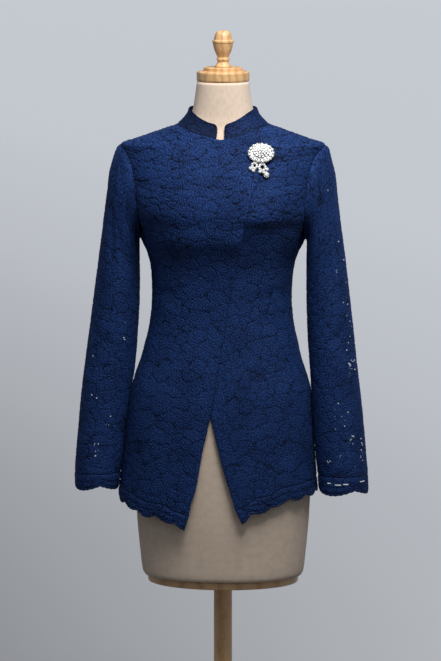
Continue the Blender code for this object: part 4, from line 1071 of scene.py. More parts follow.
# places of pinholes: across, height, half width, half height, how many
LEFT_PINHOLES = (
    (0.2014, 1.2600, 0.003, 0.004, 2), (0.2204, 1.1590, 0.002, 0.004, 2),
    (0.2280, 1.1290, 0.002, 0.006, 2), (0.2166, 1.1000, 0.002, 0.006, 3),
    (0.2318, 1.0810, 0.002, 0.003, 2), (0.2325, 1.0480, 0.005, 0.008, 8),
    (0.2420, 1.0050, 0.008, 0.022, 9), (0.2440, 0.9420, 0.010, 0.040, 22),
    (0.2413, 0.9160, 0.006, 0.010, 7), (0.2300, 0.8300, 0.022, 0.030, 14),
    (0.2440, 0.7790, 0.006, 0.010, 9), (0.2640, 0.7600, 0.002, 0.024, 10),
    (0.2230, 0.7470, 0.004, 0.003, 4), (0.2050, 0.7390, 0.006, 0.004, 6),
    (0.2527, 0.7287, 0.001, 0.001, 1),
)
RIGHT_PINHOLES = (
    (-0.1900, 1.0070, 0.004, 0.006, 2), (-0.1860, 0.9650, 0.004, 0.008, 3),
    (-0.2147, 0.8110, 0.010, 0.010, 4), (-0.2440, 0.7560, 0.008, 0.016, 8),
    (-0.2440, 0.9100, 0.012, 0.060, 6),
)
# Round the sleeve from its outer line, forwards first, and down from the armhole:
# from around, from down, to around, to down, half width, rise
LEFT_SLEEVE_CREASES = (
    (0.050, 0.060, 0.058, 0.190, 0.009, -0.0020), (0.078, 0.070, 0.082, 0.170, 0.008, -0.0016),
    (0.030, 0.250, 0.075, 0.290, 0.011, -0.0018), (0.020, 0.320, 0.070, 0.335, 0.012, 0.0014),
    (0.040, 0.400, 0.055, 0.560, 0.016, 0.0016), (-0.050, 0.070, -0.060, 0.200, 0.010, -0.0018),
    (-0.030, 0.290, -0.080, 0.310, 0.012, -0.0018),
)
RIGHT_SLEEVE_CREASES = (
    (0.055, 0.060, 0.070, 0.170, 0.010, -0.0018), (0.085, 0.080, 0.090, 0.150, 0.008, -0.0014),
    (0.030, 0.270, 0.080, 0.300, 0.011, -0.0016), (0.015, 0.350, 0.060, 0.370, 0.012, 0.0014),
    (0.045, 0.420, 0.050, 0.570, 0.015, 0.0014), (-0.055, 0.080, -0.060, 0.190, 0.010, -0.0016),
    (-0.035, 0.300, -0.080, 0.325, 0.012, -0.0016),
)


def sleeve_grid(rows):
    """Fanned rings from the armhole down, evenly spaced along the sleeve."""
    side = np.sign(rows[0, 0])
    half = SLEEVE_COLUMNS // 2
    lines = []
    for armhole, back in ((FRONT_ARMHOLE, False), (BACK_ARMHOLE, True)):
        line = armhole_line(armhole, side, back, half)
        lines.append(body_point(wrap_of(line[:, 0], line[:, 1]), line[:, 1], back))
    seam = np.concatenate((lines[0][::-1], lines[1][1:-1]))
    angle = np.arange(SLEEVE_COLUMNS) * 2 * np.pi / SLEEVE_COLUMNS
    index = np.arange(len(rows))
    fine = np.linspace(0, len(rows) - 1, SLEEVE_FINE_STEPS)
    outer_x, outer_z, inner_x, inner_z = (steady(fine, index, rows[:, k]) for k in range(4))
    run = np.hypot(np.diff(outer_x + inner_x), np.diff(outer_z + inner_z)) / 2
    length = np.concatenate(((0,), np.cumsum(run)))
    down = np.linspace(0, length[-1], SLEEVE_ROWS + 1)
    at = np.interp(down, length, fine)
    outer_x, outer_z, inner_x, inner_z, middle_y, half_depth, keep = (
        steady(at, index, rows[:, k])[:, None] for k in range(7)
    )
    across = (outer_x + inner_x) / 2 + np.cos(angle) * (outer_x - inner_x) / 2
    height = (outer_z + inner_z) / 2 + np.cos(angle) * (outer_z - inner_z) / 2
    rings = np.stack((across, middle_y - np.sin(angle) * half_depth, height), -1)
    rings = rings + keep[..., None] * (seam - rings[0])
    around = round_share(angle)
    closed = np.concatenate((rings, rings[:, :1]), 1)
    girth = np.linalg.norm(np.diff(closed, axis=1), axis=2).sum(1)
    return rings, outward_of_ring(rings), around * girth[:, None], down[:, None] + 0 * around


def round_share(angle):
    """Share of the way round from the outer line: forwards first, and less than 0 behind."""
    return np.where(angle <= np.pi, angle, angle - 2 * np.pi) / (2 * np.pi)


def outward_of_ring(rings):
    out = grid_outward(rings, True)
    middle = len(rings) // 2
    inside_out = np.sum((rings[middle] - rings[middle].mean(0)) * out[middle]) < 0
    return -out if inside_out else out


def strewn_pinholes(places):
    """Middles and radii of the pinholes, strewn about the places of a table."""
    holes = []
    for across, height, half_width, half_height, count in places:
        for hole in range(count):
            holes.append((
                across + half_width * chance.uniform(-1, 1), 0.0,
                height + half_height * chance.uniform(-1, 1), chance.uniform(HOLE_SMALL, HOLE_LARGE),
            ))
    return np.array(holes)


def pierced(points, holes, widen=0.0):
    """1 in the middle of a pinhole, half at its rim and 0 outside, along the line of sight
    of someone who stands in front."""
    opening = np.zeros(len(points))
    for *middle, radius in holes:
        sight = middle - SIGHT_FROM
        sight = sight / np.linalg.norm(sight)
        away = points - middle
        away = away - (away @ sight)[:, None] * sight
        opening = np.maximum(opening, 1 - np.linalg.norm(away, axis=1) / (2 * (radius + widen)))
    return opening


def pierce(made, holes):
    """Opens the pinholes in a piece, and wider gaps in the plainer back of its cloth."""
    count = len(made.data.vertices)
    points = np.empty(count * 3, dtype=np.float32)
    made.data.vertices.foreach_get("co", points)
    points = points.reshape(-1, 3).astype(float)
    pale = np.empty(count, dtype=np.float32)
    made.data.attributes["pale"].data.foreach_get("value", pale)
    behind = pale == BEHIND_PALE
    opening = np.where(behind, pierced(points, holes, HOLE_BEHIND), pierced(points, holes))
    layer = made.data.attributes.new("openwork", "FLOAT", "POINT")
    layer.data.foreach_set("value", np.clip(opening, 0, 1).astype(np.float32))


def open_ring(node_name, cell, rings, out, worked, around, along, holes):
    """A tube of lace with its relief, its openings and what is said of its cloth."""
    relief, pale = worked
    fall = fallen(pale.shape, cell, ("low", "high"))
    made = lace_piece(
        "lace_" + node_name.replace("border", "strip"), rings, out, (relief + LACE_RISE) * fall,
        pale * (STRIP_EDGE_PALE + (1 - STRIP_EDGE_PALE) * fall), np.stack((around, along), -1),
        ring=True, finish=open_lace,
    )
    pierce(made, holes)
    cut_and_hung(made, node_name)


open_lace = lace_finish("navy_corded_openwork", pinholes=True)
sleeve_bottoms = {}
# side, sleeve, its pinholes, its creases, where its lace starts on the repeating square
for word, rows, pinholes, creases, move in (
    ("right", RIGHT_SLEEVE, RIGHT_PINHOLES, RIGHT_SLEEVE_CREASES, (0.40, 0.07)),
    ("left", LEFT_SLEEVE, LEFT_PINHOLES, LEFT_SLEEVE_CREASES, (0.22, 0.45)),
):
    rings, out, around, down = sleeve_grid(rows)
    rings = rings + out * creased(around, down, creases)[..., None]
    sleeve_bottoms[word] = rings[-1]
    open_ring(
        word + "_sleeve", SLEEVE_CELL, rings, out,
        lace(around, -down, move), around, -down, strewn_pinholes(pinholes),
    )


# Collar. A stand band of lace on a stiff net, cut in a curve so that it leans in to the neck,
# with rounded front ends that stop short of each other and leave a narrow notch.
COLLAR_ROWS = 28
COLLAR_TOP_HALF_WIDTH, COLLAR_TOP_FRONT, COLLAR_TOP_BACK = 0.0635, 0.0605, 0.0600
COLLAR_FRONT_LEVEL, COLLAR_SIDE_LEVEL, COLLAR_BACK_LEVEL = 1.3855, 1.4135, 1.4140
COLLAR_LEFT_STEEPNESS, COLLAR_RIGHT_STEEPNESS = 2.8, 1.9
COLLAR_DRAW_IN = 1.8
COLLAR_CORNER = 0.0085
COLLAR_CELL = 0.0013
# painted shade: how pale the collar's lace is kept beside the panels', on the right and on the left
COLLAR_RIGHT_PAINTED_SHADE, COLLAR_LEFT_PAINTED_SHADE, COLLAR_SHADE_CHANGES = 0.434, 0.6572, (-0.02, 0.03)
base = np.concatenate((
    right_points[-1, FLAP_COLUMNS : FLAP_COLUMNS + NECK_COLUMNS + 1],
    back_points[-1, BACK_SHOULDER_COLUMNS + 1 : BACK_SHOULDER_COLUMNS + BACK_NECK_COLUMNS],
    left_points[-1, TUCK_COLUMNS : TUCK_COLUMNS + NECK_COLUMNS + 1][::-1],
))
turn = np.arctan2(base[:, 0], -base[:, 1])
facing = np.cos(turn)
along = np.concatenate(((0,), np.cumsum(np.linalg.norm(np.diff(base, axis=0), axis=1))))
top_out = np.where(facing > 0, COLLAR_TOP_FRONT, COLLAR_TOP_BACK)
top_end = np.where(facing > 0, COLLAR_FRONT_LEVEL, COLLAR_BACK_LEVEL)
steepness = np.where(base[:, 0] > 0, COLLAR_LEFT_STEEPNESS, COLLAR_RIGHT_STEEPNESS)
top_level = COLLAR_SIDE_LEVEL + (top_end - COLLAR_SIDE_LEVEL) * np.abs(facing) ** steepness
from_end = np.clip(COLLAR_CORNER - np.minimum(along, along[-1] - along), 0, COLLAR_CORNER)
top_level = top_level - (COLLAR_CORNER - np.sqrt(COLLAR_CORNER ** 2 - from_end ** 2))
top_edge = np.stack((COLLAR_TOP_HALF_WIDTH * np.sin(turn), -top_out * facing, top_level), 1)
share = np.linspace(0, 1, COLLAR_ROWS + 1)[:, None]
drawn = 1 - (1 - share) ** COLLAR_DRAW_IN
collar_points = base + (top_edge - base) * np.stack((drawn, drawn, share), -1)
collar_out = grid_outward(collar_points, False)
collar_out = collar_out * np.sign(np.sum(collar_out[COLLAR_ROWS // 2, :, :2] * base[:, :2]))
collar_along = along + 0 * share
collar_up = collar_points[..., 2]
collar_relief, collar_pale = lace(collar_along, collar_up, (0.12, 0.30))
collar_fall = fallen(collar_up.shape, COLLAR_CELL, ("low", "high", "first", "last"))
collar_pale = collar_pale * (EDGE_PALE + (1 - EDGE_PALE) * collar_fall)
# Painted shade: the collar is made darker than the panels, and darker still on the right.
to_left = ease(*COLLAR_SHADE_CHANGES, base[:, 0])
collar_pale = collar_pale * (COLLAR_RIGHT_PAINTED_SHADE + (COLLAR_LEFT_PAINTED_SHADE - COLLAR_RIGHT_PAINTED_SHADE) * to_left)
collar = lace_piece(
    "lace_collar", collar_points, collar_out, (collar_relief + LACE_RISE) * collar_fall,
    collar_pale, np.stack((collar_along, collar_up), -1),
)
cut_and_hung(collar, "collar")


# Hem strips. Edge lace whose outer side is worked in scallops with small teeth and a thick
# outlining cord; sewn flat along the slanting lower edges of the fronts and the back.
STRIP_ROWS = 20
STRIP_CELL = 0.0012
SCALLOP_PITCH = 0.0455
SCALLOP_DEPTH = 0.0065
TEETH_IN_SCALLOP = 5
TOOTH_DEPTH, TOOTH_MIDDLE = 0.0012, 0.6
EDGE_CORD_AT, EDGE_CORD_HALF = 0.0020, 0.0013
EDGE_GROOVE_AT, EDGE_GROOVE_HALF = 0.0050, 0.0010
GARLAND_AT, GARLAND_HALF, GARLAND_SWING = 0.0165, 0.0012, 0.0022
# stitches fan out from a point above each scallop, between these distances from its edge
FAN_FROM, FAN_RAYS = 0.020, 9
FAN_STARTS, FAN_ENDS = (0.006, 0.008), (0.012, 0.015)
# rise and paleness of the edge cord, the groove, the garland and the fan; the paleness is painted light on
# the raised cord and fan and painted shade in the sunk groove and garland
EDGE_WORK = ((0.0006, 0.10), (-0.0009, -0.36), (-0.0007, -0.26), (0.00025, 0.10))


def edge_lace(along, above, phase, move):
    """Lace of a scalloped strip: above is the distance from its scalloped edge,
    and phase counts scallops along it."""
    relief, pale = lace(along, above, move)
    swing = GARLAND_SWING * np.abs(np.cos(np.pi * (phase + 0.5)))
    from_middle = (phase - np.round(phase)) * SCALLOP_PITCH
    fan = np.cos(FAN_RAYS * np.arctan2(from_middle, FAN_FROM - above))
    worked = (
        np.exp(-(((above - EDGE_CORD_AT) / EDGE_CORD_HALF) ** 2)),
        np.exp(-(((above - EDGE_GROOVE_AT) / EDGE_GROOVE_HALF) ** 2)),
        np.exp(-(((above - GARLAND_AT + swing) / GARLAND_HALF) ** 2)),
        fan * ease(*FAN_STARTS, above) * (1 - ease(*FAN_ENDS, above)),
    )
    # Painted light and shade: the raised cord and fan are made paler, the sunk groove and garland darker.
    for (rise, paler), strength in zip(EDGE_WORK, worked):
        relief = relief + rise * strength
        pale = pale + paler * strength
    return relief, np.clip(pale, 0, 1)


def teeth(phase, in_scallop):
    """How far the small teeth reach past a scalloped edge, or fall short of it."""
    return TOOTH_DEPTH * (np.abs(np.cos(np.pi * phase * in_scallop)) - TOOTH_MIDDLE)


def hem_strip(word, hem, first, last, panel_foot, back, move):
    """Edge lace hung from a panel's lower edge, given by its angles, heights and rise."""
    count = (len(panel_foot[0]) - 1) * 2
    fine, coarse = np.arange(count + 1), np.arange(0, count + 1, 2)
    top_wrap, top_height, lift = (np.interp(fine, coarse, values) for values in panel_foot)
    share = first + (last - first) * np.linspace(0, 1, count + 1)
    level = table(hem, share)
    length = np.concatenate(((0,), np.cumsum(np.linalg.norm(
        np.diff(body_point(share * np.pi / 2, level, back), axis=0), axis=1
    ))))
    phase = length / length[-1] * max(round(length[-1] / SCALLOP_PITCH), 1)
    edge_line_at = level + SCALLOP_DEPTH / 2 - SCALLOP_DEPTH * np.abs(np.cos(np.pi * phase))
    edge_line_at = edge_line_at - teeth(phase, TEETH_IN_SCALLOP)
    mix = np.linspace(0, 1, STRIP_ROWS + 1)[:, None]
    here = top_wrap + (share * np.pi / 2 - top_wrap) * mix
    at = top_height + (edge_line_at - top_height) * mix
    out = body_outward(here, at, back)
    points = body_point(here, at, back) + out * (lift * (1 - mix))[..., None]
    along, above = length + 0 * mix, (top_height - edge_line_at) * (1 - mix)
    relief, pale = edge_lace(along, above, phase + 0 * mix, move)
    fall = fallen(above.shape, STRIP_CELL, ("low", "high", "first", "last"))
    made = lace_piece(
        "lace_" + word + "_hem_strip", points, out, (relief + LACE_RISE) * fall,
        pale * (STRIP_EDGE_PALE + (1 - STRIP_EDGE_PALE) * fall), np.stack((along, above), -1),
    )
    cut_and_hung(made, word + "_border")


hem_strip(
    "right_front", RIGHT_HEM, start_share(OVERLAP_EDGE, RIGHT_POINT_LEVEL), -1.0,
    (right_wrap[0], right_height[0], right_rise[0]), False, (0.11, 0.03),
)
hem_strip(
    "left_front", LEFT_HEM, start_share(UNDERLAP_EDGE, LEFT_POINT_LEVEL), 1.0,
    (left_wrap[0], left_height[0], left_rise[0]), False, (0.29, 0.17),
)
hem_strip("back", BACK_HEM, -1.0, 1.0, (back_wrap[0], back_height[0], back_rise[0]), True, (0.36, 0.42))


# Cuff strips. The same edge lace in longer, deeper scallops, sewn round each wrist. The left
# one shows a few long open stitches above its scallops.
CUFF_ROWS = 20
CUFF_CELL = 0.0013
CUFF_SCALLOPS = 3
CUFF_SCALLOP_DEPTH = 0.0098
CUFF_TEETH_IN_SCALLOP = 9
# from across, to across, height
LEFT_OPEN_STITCHES = (
    (0.2025, 0.2085, 0.7065), (0.2170, 0.2275, 0.7045),
    (0.2330, 0.2415, 0.7060), (0.2640, 0.2715, 0.7090),
)
CUFF_MIDDLE, CUFF_HALF_DEPTH = -0.019, 0.0480
STITCH_HALF, STITCH_OVERLAP = 0.0010, 0.7
# side, sleeve, outer and inner side of its lower edge, lift, share of a scallop that it starts
# at, open stitches, where its lace starts on the repeating square
for word, rows, ends, lift, start, open_stitches, move in (
    ("right", RIGHT_SLEEVE, (-0.2806, -0.1992), 0.004, -0.375, (), (0.05, 0.20)),
    ("left", LEFT_SLEEVE, (0.2772, 0.1845), 0.0, 0.0, LEFT_OPEN_STITCHES, (0.33, 0.09)),
):
    top_ring = sleeve_bottoms[word]
    columns = SLEEVE_COLUMNS * 2
    top = np.empty((columns, 3))
    top[0::2] = top_ring
    top[1::2] = (top_ring + np.roll(top_ring, -1, 0)) / 2
    angle = np.arange(columns) * 2 * np.pi / columns
    phase = angle * CUFF_SCALLOPS / (2 * np.pi) + start
    drop = CUFF_SCALLOP_DEPTH * np.abs(np.cos(np.pi * phase)) - lift
    drop = drop + teeth(phase, CUFF_TEETH_IN_SCALLOP)
    low = np.stack((
        sum(ends) / 2 + np.cos(angle) * (ends[0] - ends[1]) / 2,
        CUFF_MIDDLE - np.sin(angle) * CUFF_HALF_DEPTH,
        rows[-1, 1] - STRIP_WIDTH - drop,
    ), 1)
    mix = np.linspace(0, 1, CUFF_ROWS + 1)[:, None]
    points = top + (low - top) * mix[..., None]
    out = outward_of_ring(points)
    girth = np.linalg.norm(low - np.roll(low, -1, 0), axis=1).mean() * columns
    around = round_share(angle) * girth + 0 * mix
    above = (top[:, 2] - low[:, 2]) * (1 - mix)
    stitches = []
    for from_across, to_across, height in open_stitches:
        for across in np.arange(from_across, to_across, STITCH_HALF * STITCH_OVERLAP):
            turn = np.arccos((across - sum(ends) / 2) / ((ends[0] - ends[1]) / 2))
            stitches.append((across, CUFF_MIDDLE - np.sin(turn) * CUFF_HALF_DEPTH, height, STITCH_HALF))
    open_ring(
        word + "_cuff_border", CUFF_CELL, points, out,
        edge_lace(around, above, phase + 0 * mix, move), around, above, stitches,
    )


# Brooch. A scalloped silver-plated plate set with a rim of round stones and a raised rosette,
# with two stone-set links and a drop stone below; its pin holds the corner of the right front.
# Every stone is cut glass backed with foil and held by small beads of metal.
BROOCH_ACROSS, BROOCH_LEVEL, BROOCH_STANDOFF = 0.0766, 1.3330, 0.0030
PLATE_HALF_WIDTH, PLATE_HALF_HEIGHT, PLATE_THICKNESS = 0.0255, 0.0198, 0.0022
PLATE_LOBES, PLATE_LOBE_DEPTH, PLATE_SIDES = 17, 0.05, 204
# share of the plate's size, share of its thickness
PLATE_PROFILE_OF_BROOCH = (
    (0.02, 0.0), (0.95, 0.0), (0.985, 0.12), (1.0, 0.40),
    (1.0, 0.65), (0.985, 0.90), (0.95, 1.0), (0.02, 1.0),
)
RIM_SHARE, RIM_STONE, RIM_STONE_HEIGHT = 0.865, 0.00355, 0.0026
BEAD, BEAD_SHARES = 0.0009, (0.955, 0.76)
# stones in a ring, its half width and half height, stone radius, height of its floor, start
ROSETTE_RINGS = (
    (14, 0.0138, 0.0116, 0.0031, 0.0010, 0.0), (11, 0.0098, 0.0082, 0.0030, 0.0026, 0.3),
    (6, 0.0055, 0.0046, 0.0030, 0.0044, 0.0), (1, 0.0, 0.0, 0.0033, 0.0056, 0.0),
)
# half width, half height and height of the steps that carry those rings
ROSETTE_STEPS = (
    (0.0150, 0.0118, 0.0011), (0.0112, 0.0088, 0.0027), (0.0070, 0.0056, 0.0045),
    (0.0032, 0.0030, 0.0056),
)
ROSETTE_RISE = 0.0036
# across and up from the plate's middle, of the stones that fill it below the rosette
LOW_STONES = (
    (-0.0130, -0.0070), (-0.0078, -0.0106), (-0.0016, -0.0122),
    (0.0046, -0.0119), (0.0104, -0.0093), (0.0150, -0.0052),
)
LOW_STONE, LOW_STONE_HEIGHT = 0.0026, 0.0022
# across, height, half width, half height, hole half width, hole half height, stones
LEFT_LINK = (0.0652, 1.3112, 0.0070, 0.0076, 0.0022, 0.0027, 8)
RIGHT_LINK = (0.0795, 1.3082, 0.0080, 0.0078, 0.0036, 0.0037, 9)
LINK_STONE, LINK_STONE_HEIGHT = 0.0025, 0.0018
# across and up from the middle of each link, of the single stones beside it
STONES_BY_LEFT_LINK = ((-0.0078, -0.0052), (-0.0022, -0.0094))
STONES_BY_RIGHT_LINK = ((-0.0046, -0.0082), (0.0084, -0.0040), (0.0022, -0.0094))
SINGLE_STONE, SINGLE_STONE_HEIGHT = 0.0034, 0.0026
LINK_STANDOFF, LINK_THICKNESS, LINK_SIDES = 0.0022, 0.0022, 48
DROP_ACROSS, DROP_LEVEL, DROP_RADIUS, DROP_HEIGHT = 0.0874, 1.2950, 0.0052, 0.0036
FACETS = 8
# share of the radius, share of the height, share of a facet that it is turned by
STONE_LEVELS = ((1.0, 0.0, 0.0), (1.0, 0.28, 0.0), (0.80, 0.66, 0.5), (0.52, 1.0, 0.0))
BEAD_SIDES, BEAD_LEVELS = 10, 5
# share of the stone's radius, height
SINGLE_CUP = ((0.5, 0.0004), (1.04, 0.0004), (1.04, 0.0019), (0.5, 0.0019))
# distance past the stone's radius, height
DROP_CUP = ((0.0001, 0.0), (0.0007, 0.0), (0.0007, 0.0017), (0.0001, 0.0019))
DROP_FLOOR, CLAWS, CLAW_SHARE, CLAW_HEIGHT = 0.0006, 6, 0.98, 0.0021
SILVER_BRIGHT, SILVER_WORN = (0.58, 0.57, 0.55), (0.26, 0.255, 0.245)
# painted glints and dark painted reflections in the stones: share of the stones, colour
STONE_GLINT_COLOURS = ((0.0, (0.30, 0.31, 0.33)), (0.30, (0.64, 0.64, 0.63)), (1.0, (0.90, 0.89, 0.85)))


def on_chest(across, level, standoff):
    """Middle, right, up and outward directions of a place on the chest."""
    wrap = wrap_across(across, np.array(level))
    outward = body_outward(wrap, np.array(level), False)
    middle = body_point(wrap, np.array(level), False) + outward * standoff
    up = np.array((0.0, 0.0, 1.0)) - outward * outward[2]
    up = up / np.linalg.norm(up)
    return middle, np.cross(up, outward), up, outward


def in_place(place, across, up, rise):
    """Points on a place's own plane, raised from it."""
    middle, *directions = place
    steps = zip((across, up, rise), directions)
    return middle + sum(np.multiply.outer(step, direction) for step, direction in steps)


def moved(place, across, up):
    """The same place moved along its own plane."""
    return (place[0] + place[1] * across + place[2] * up, *place[1:])


def oval_ring(place, half_width, half_height, rise, sides, start=0.0, lobes=0, lobe_depth=0.0):
    angle = start + np.arange(sides) * 2 * np.pi / sides
    swell = 1 + lobe_depth * (np.abs(np.cos(lobes * angle / 2)) - 1)
    across, up = half_width * swell * np.cos(angle), half_height * swell * np.sin(angle)
    return in_place(place, across, up, rise + 0 * angle)


def ring_faces(rings, sides, closed):
    """Faces between rings, and back to the first where they are closed."""
    return [
        (r * sides + s, r * sides + (s + 1) % sides,
         (r + 1) % rings * sides + (s + 1) % sides, (r + 1) % rings * sides + s)
        for r in range(rings if closed else rings - 1) for s in range(sides)
    ]


class Tray:
    """Collects small like parts that are made as one mesh."""

    def __init__(self):
        self.points = []
        self.faces = []
        self.count = 0

    def add(self, points, faces):
        self.points.append(points)
        self.faces += [tuple(int(v) + self.count for v in face) for face in faces]
        self.count += len(points)

    def stone(self, place, across, up, rise, radius, height):
        """A round stone: straight girdle, crown of long facets and a flat table."""
        here = (in_place(place, across, up, rise), *place[1:])
        facet = 2 * np.pi / FACETS
        rings = [
            oval_ring(here, radius * share, radius * share, height * up_share, FACETS, turned * facet)
            for share, up_share, turned in STONE_LEVELS
        ]
        faces = []
        for ring in range(3):
            for side in range(FACETS):
                a, b = ring * FACETS + side, ring * FACETS + (side + 1) % FACETS
                c, d = a + FACETS, b + FACETS
                if ring == 0:
                    faces.append((a, b, d, c))
                elif ring == 1:
                    faces += [(a, b, c), (c, b, d)]
                else:
                    faces += [(a, b, d), (a, d, c)]
        faces.append(tuple(3 * FACETS + side for side in range(FACETS)))
        faces.append(tuple(FACETS - 1 - side for side in range(FACETS)))
        self.add(np.concatenate(rings), faces)

    def bead(self, place, across, up, rise, radius):
        """A small ball of metal."""
        here = (in_place(place, across, up, rise), *place[1:])
        rings = []
        for level in range(BEAD_LEVELS + 1):
            tip = np.pi * (level + 0.35) / (BEAD_LEVELS + 0.7)
            wide = radius * np.sin(tip)
            rings.append(oval_ring(here, wide, wide, -radius * np.cos(tip), BEAD_SIDES))
        faces = ring_faces(len(rings), BEAD_SIDES, False)
        faces.append(tuple(range(BEAD_SIDES))[::-1])
        faces.append(tuple(BEAD_LEVELS * BEAD_SIDES + side for side in range(BEAD_SIDES)))
        self.add(np.concatenate(rings), faces)

    def band(self, rings):
        """A closed band or cup through rings that come back to the first."""
        self.add(np.concatenate(rings), ring_faces(len(rings), len(rings[0]), True))

    def made(self, name, finish, slot, *stands_for):
        """The tray's parts as one piece: metal is smooth, and stones keep flat facets."""
        smooth = finish is silver
        mesh = bpy.data.meshes.new(name)
        mesh.from_pydata(np.concatenate(self.points).tolist(), [], self.faces)
        mesh.validate()
        mesh.materials.append(finish)
        mesh.polygons.foreach_set("use_smooth", np.full(len(mesh.polygons), smooth))
        made = bpy.data.objects.new(name, mesh)
        bpy.context.scene.collection.objects.link(made)
        work = bmesh.new()
        work.from_mesh(mesh)
        bmesh.ops.recalc_face_normals(work, faces=work.faces)
        work.to_mesh(mesh)
        work.free()
        fixed(made, slot, *stands_for)


def metal_finish():
    """Bright silver plate, worn a little duller and darker in patches."""
    made, tree, shader = finish_of("silver_plate", (0.55, 0.54, 0.52), 0.32, 1.0)
    place = node(tree, "ShaderNodeTexCoord").outputs["Object"]
    wear = node(tree, "ShaderNodeTexNoise", [
        ("Vector", place), ("Scale", 420.0), ("Detail", 3.0),
    ]).outputs["Fac"]
    colour = ramp(tree, wear, ((0.30, SILVER_WORN), (0.62, SILVER_BRIGHT)))
    tree.links.new(colour, shader.inputs["Base Color"])
    rough = node(tree, "ShaderNodeMapRange", [("Value", wear), ("To Min", 0.30), ("To Max", 0.12)])
    tree.links.new(rough.outputs[0], shader.inputs["Roughness"])
    bump = node(tree, "ShaderNodeBump", [("Height", wear), ("Strength", 0.15), ("Distance", 0.0002)])
    tree.links.new(bump.outputs["Normal"], shader.inputs["Normal"])
    return made


def stone_finish(name, bright):
    """Foil-backed cut glass, white and milky from a little way off, with painted glints and dark painted
    reflections in small patches.
    """
    made, tree, shader = finish_of(name, (0.78 * bright, 0.78 * bright, 0.76 * bright), 0.34)
    shader.inputs["Coat Weight"].default_value = 0.12
    shader.inputs["Coat Roughness"].default_value = 0.15
    place = node(tree, "ShaderNodeTexCoord").outputs["Object"]
    # Painted glints and reflections: small patches of each stone are painted brighter or darker.
    painted_glints = node(tree, "ShaderNodeTexVoronoi", [("Vector", place), ("Scale", 700.0)]).outputs["Color"]
    one = node(tree, "ShaderNodeSeparateColor", [("Color", painted_glints)]).outputs[0]
    stops = [(at, tuple(bright * part for part in colour)) for at, colour in STONE_GLINT_COLOURS]
    tree.links.new(ramp(tree, one, stops), shader.inputs["Base Color"])
    return made


silver = metal_finish()
# Painted light: one stone finish in two copies, darker for the rim and low stones that face the light,
# brighter for the rosette, link and drop stones that sit in more shade.
crystal = stone_finish("foiled_crystal", 0.66)
crystal_painted_brighter = stone_finish("foiled_crystal_painted_brighter", 1.0)
brooch = on_chest(BROOCH_ACROSS, BROOCH_LEVEL, BROOCH_STANDOFF)
plate, rim_stones, rosette = Tray(), Tray(), Tray()
plate.band([
    oval_ring(
        brooch, PLATE_HALF_WIDTH * share, PLATE_HALF_HEIGHT * share,
        PLATE_THICKNESS * rise, PLATE_SIDES, 0.0, PLATE_LOBES, PLATE_LOBE_DEPTH,
    )
    for share, rise in PLATE_PROFILE_OF_BROOCH
])
for lobe in range(PLATE_LOBES):
    turn = lobe * 2 * np.pi / PLATE_LOBES
    across, up = RIM_SHARE * PLATE_HALF_WIDTH * np.cos(turn), RIM_SHARE * PLATE_HALF_HEIGHT * np.sin(turn)
    rim_stones.stone(brooch, across, up, PLATE_THICKNESS, RIM_STONE, RIM_STONE_HEIGHT)
    half = turn + np.pi / PLATE_LOBES
    for share in BEAD_SHARES:
        plate.bead(
            brooch, share * PLATE_HALF_WIDTH * np.cos(half), share * PLATE_HALF_HEIGHT * np.sin(half),
            PLATE_THICKNESS + BEAD * 0.6, BEAD,
        )
rosette_place = moved(brooch, 0.0, ROSETTE_RISE)
for count, half_width, half_height, radius, floor_level, start in ROSETTE_RINGS:
    for stone in range(count):
        turn = start + stone * 2 * np.pi / count
        across, up = half_width * np.cos(turn), half_height * np.sin(turn)
        rosette.stone(rosette_place, across, up, PLATE_THICKNESS + floor_level, radius, radius * 0.9)
        if count > 1:
            between = turn + np.pi / count
            plate.bead(
                rosette_place, half_width * np.cos(between), half_height * np.sin(between),
                PLATE_THICKNESS + floor_level + 0.0006, BEAD * 0.8,
            )
for across, up in LOW_STONES:
    rim_stones.stone(brooch, across, up, PLATE_THICKNESS, LOW_STONE, LOW_STONE_HEIGHT)
for half_width, half_height, high in ROSETTE_STEPS:
    plate.band([
        oval_ring(rosette_place, half_width * share, half_height * share, PLATE_THICKNESS + level, 48)
        for share, level in ((0.5, 0.0), (1.0, 0.0), (1.0, high), (0.5, high))
    ])
plate.made("brooch_plate_and_beads", silver, "silver", "brooch_plate")
rim_stones.made("brooch_rim_stones", crystal, "crystal")
rosette.made("brooch_rosette", crystal_painted_brighter, "crystal", "brooch_dome")
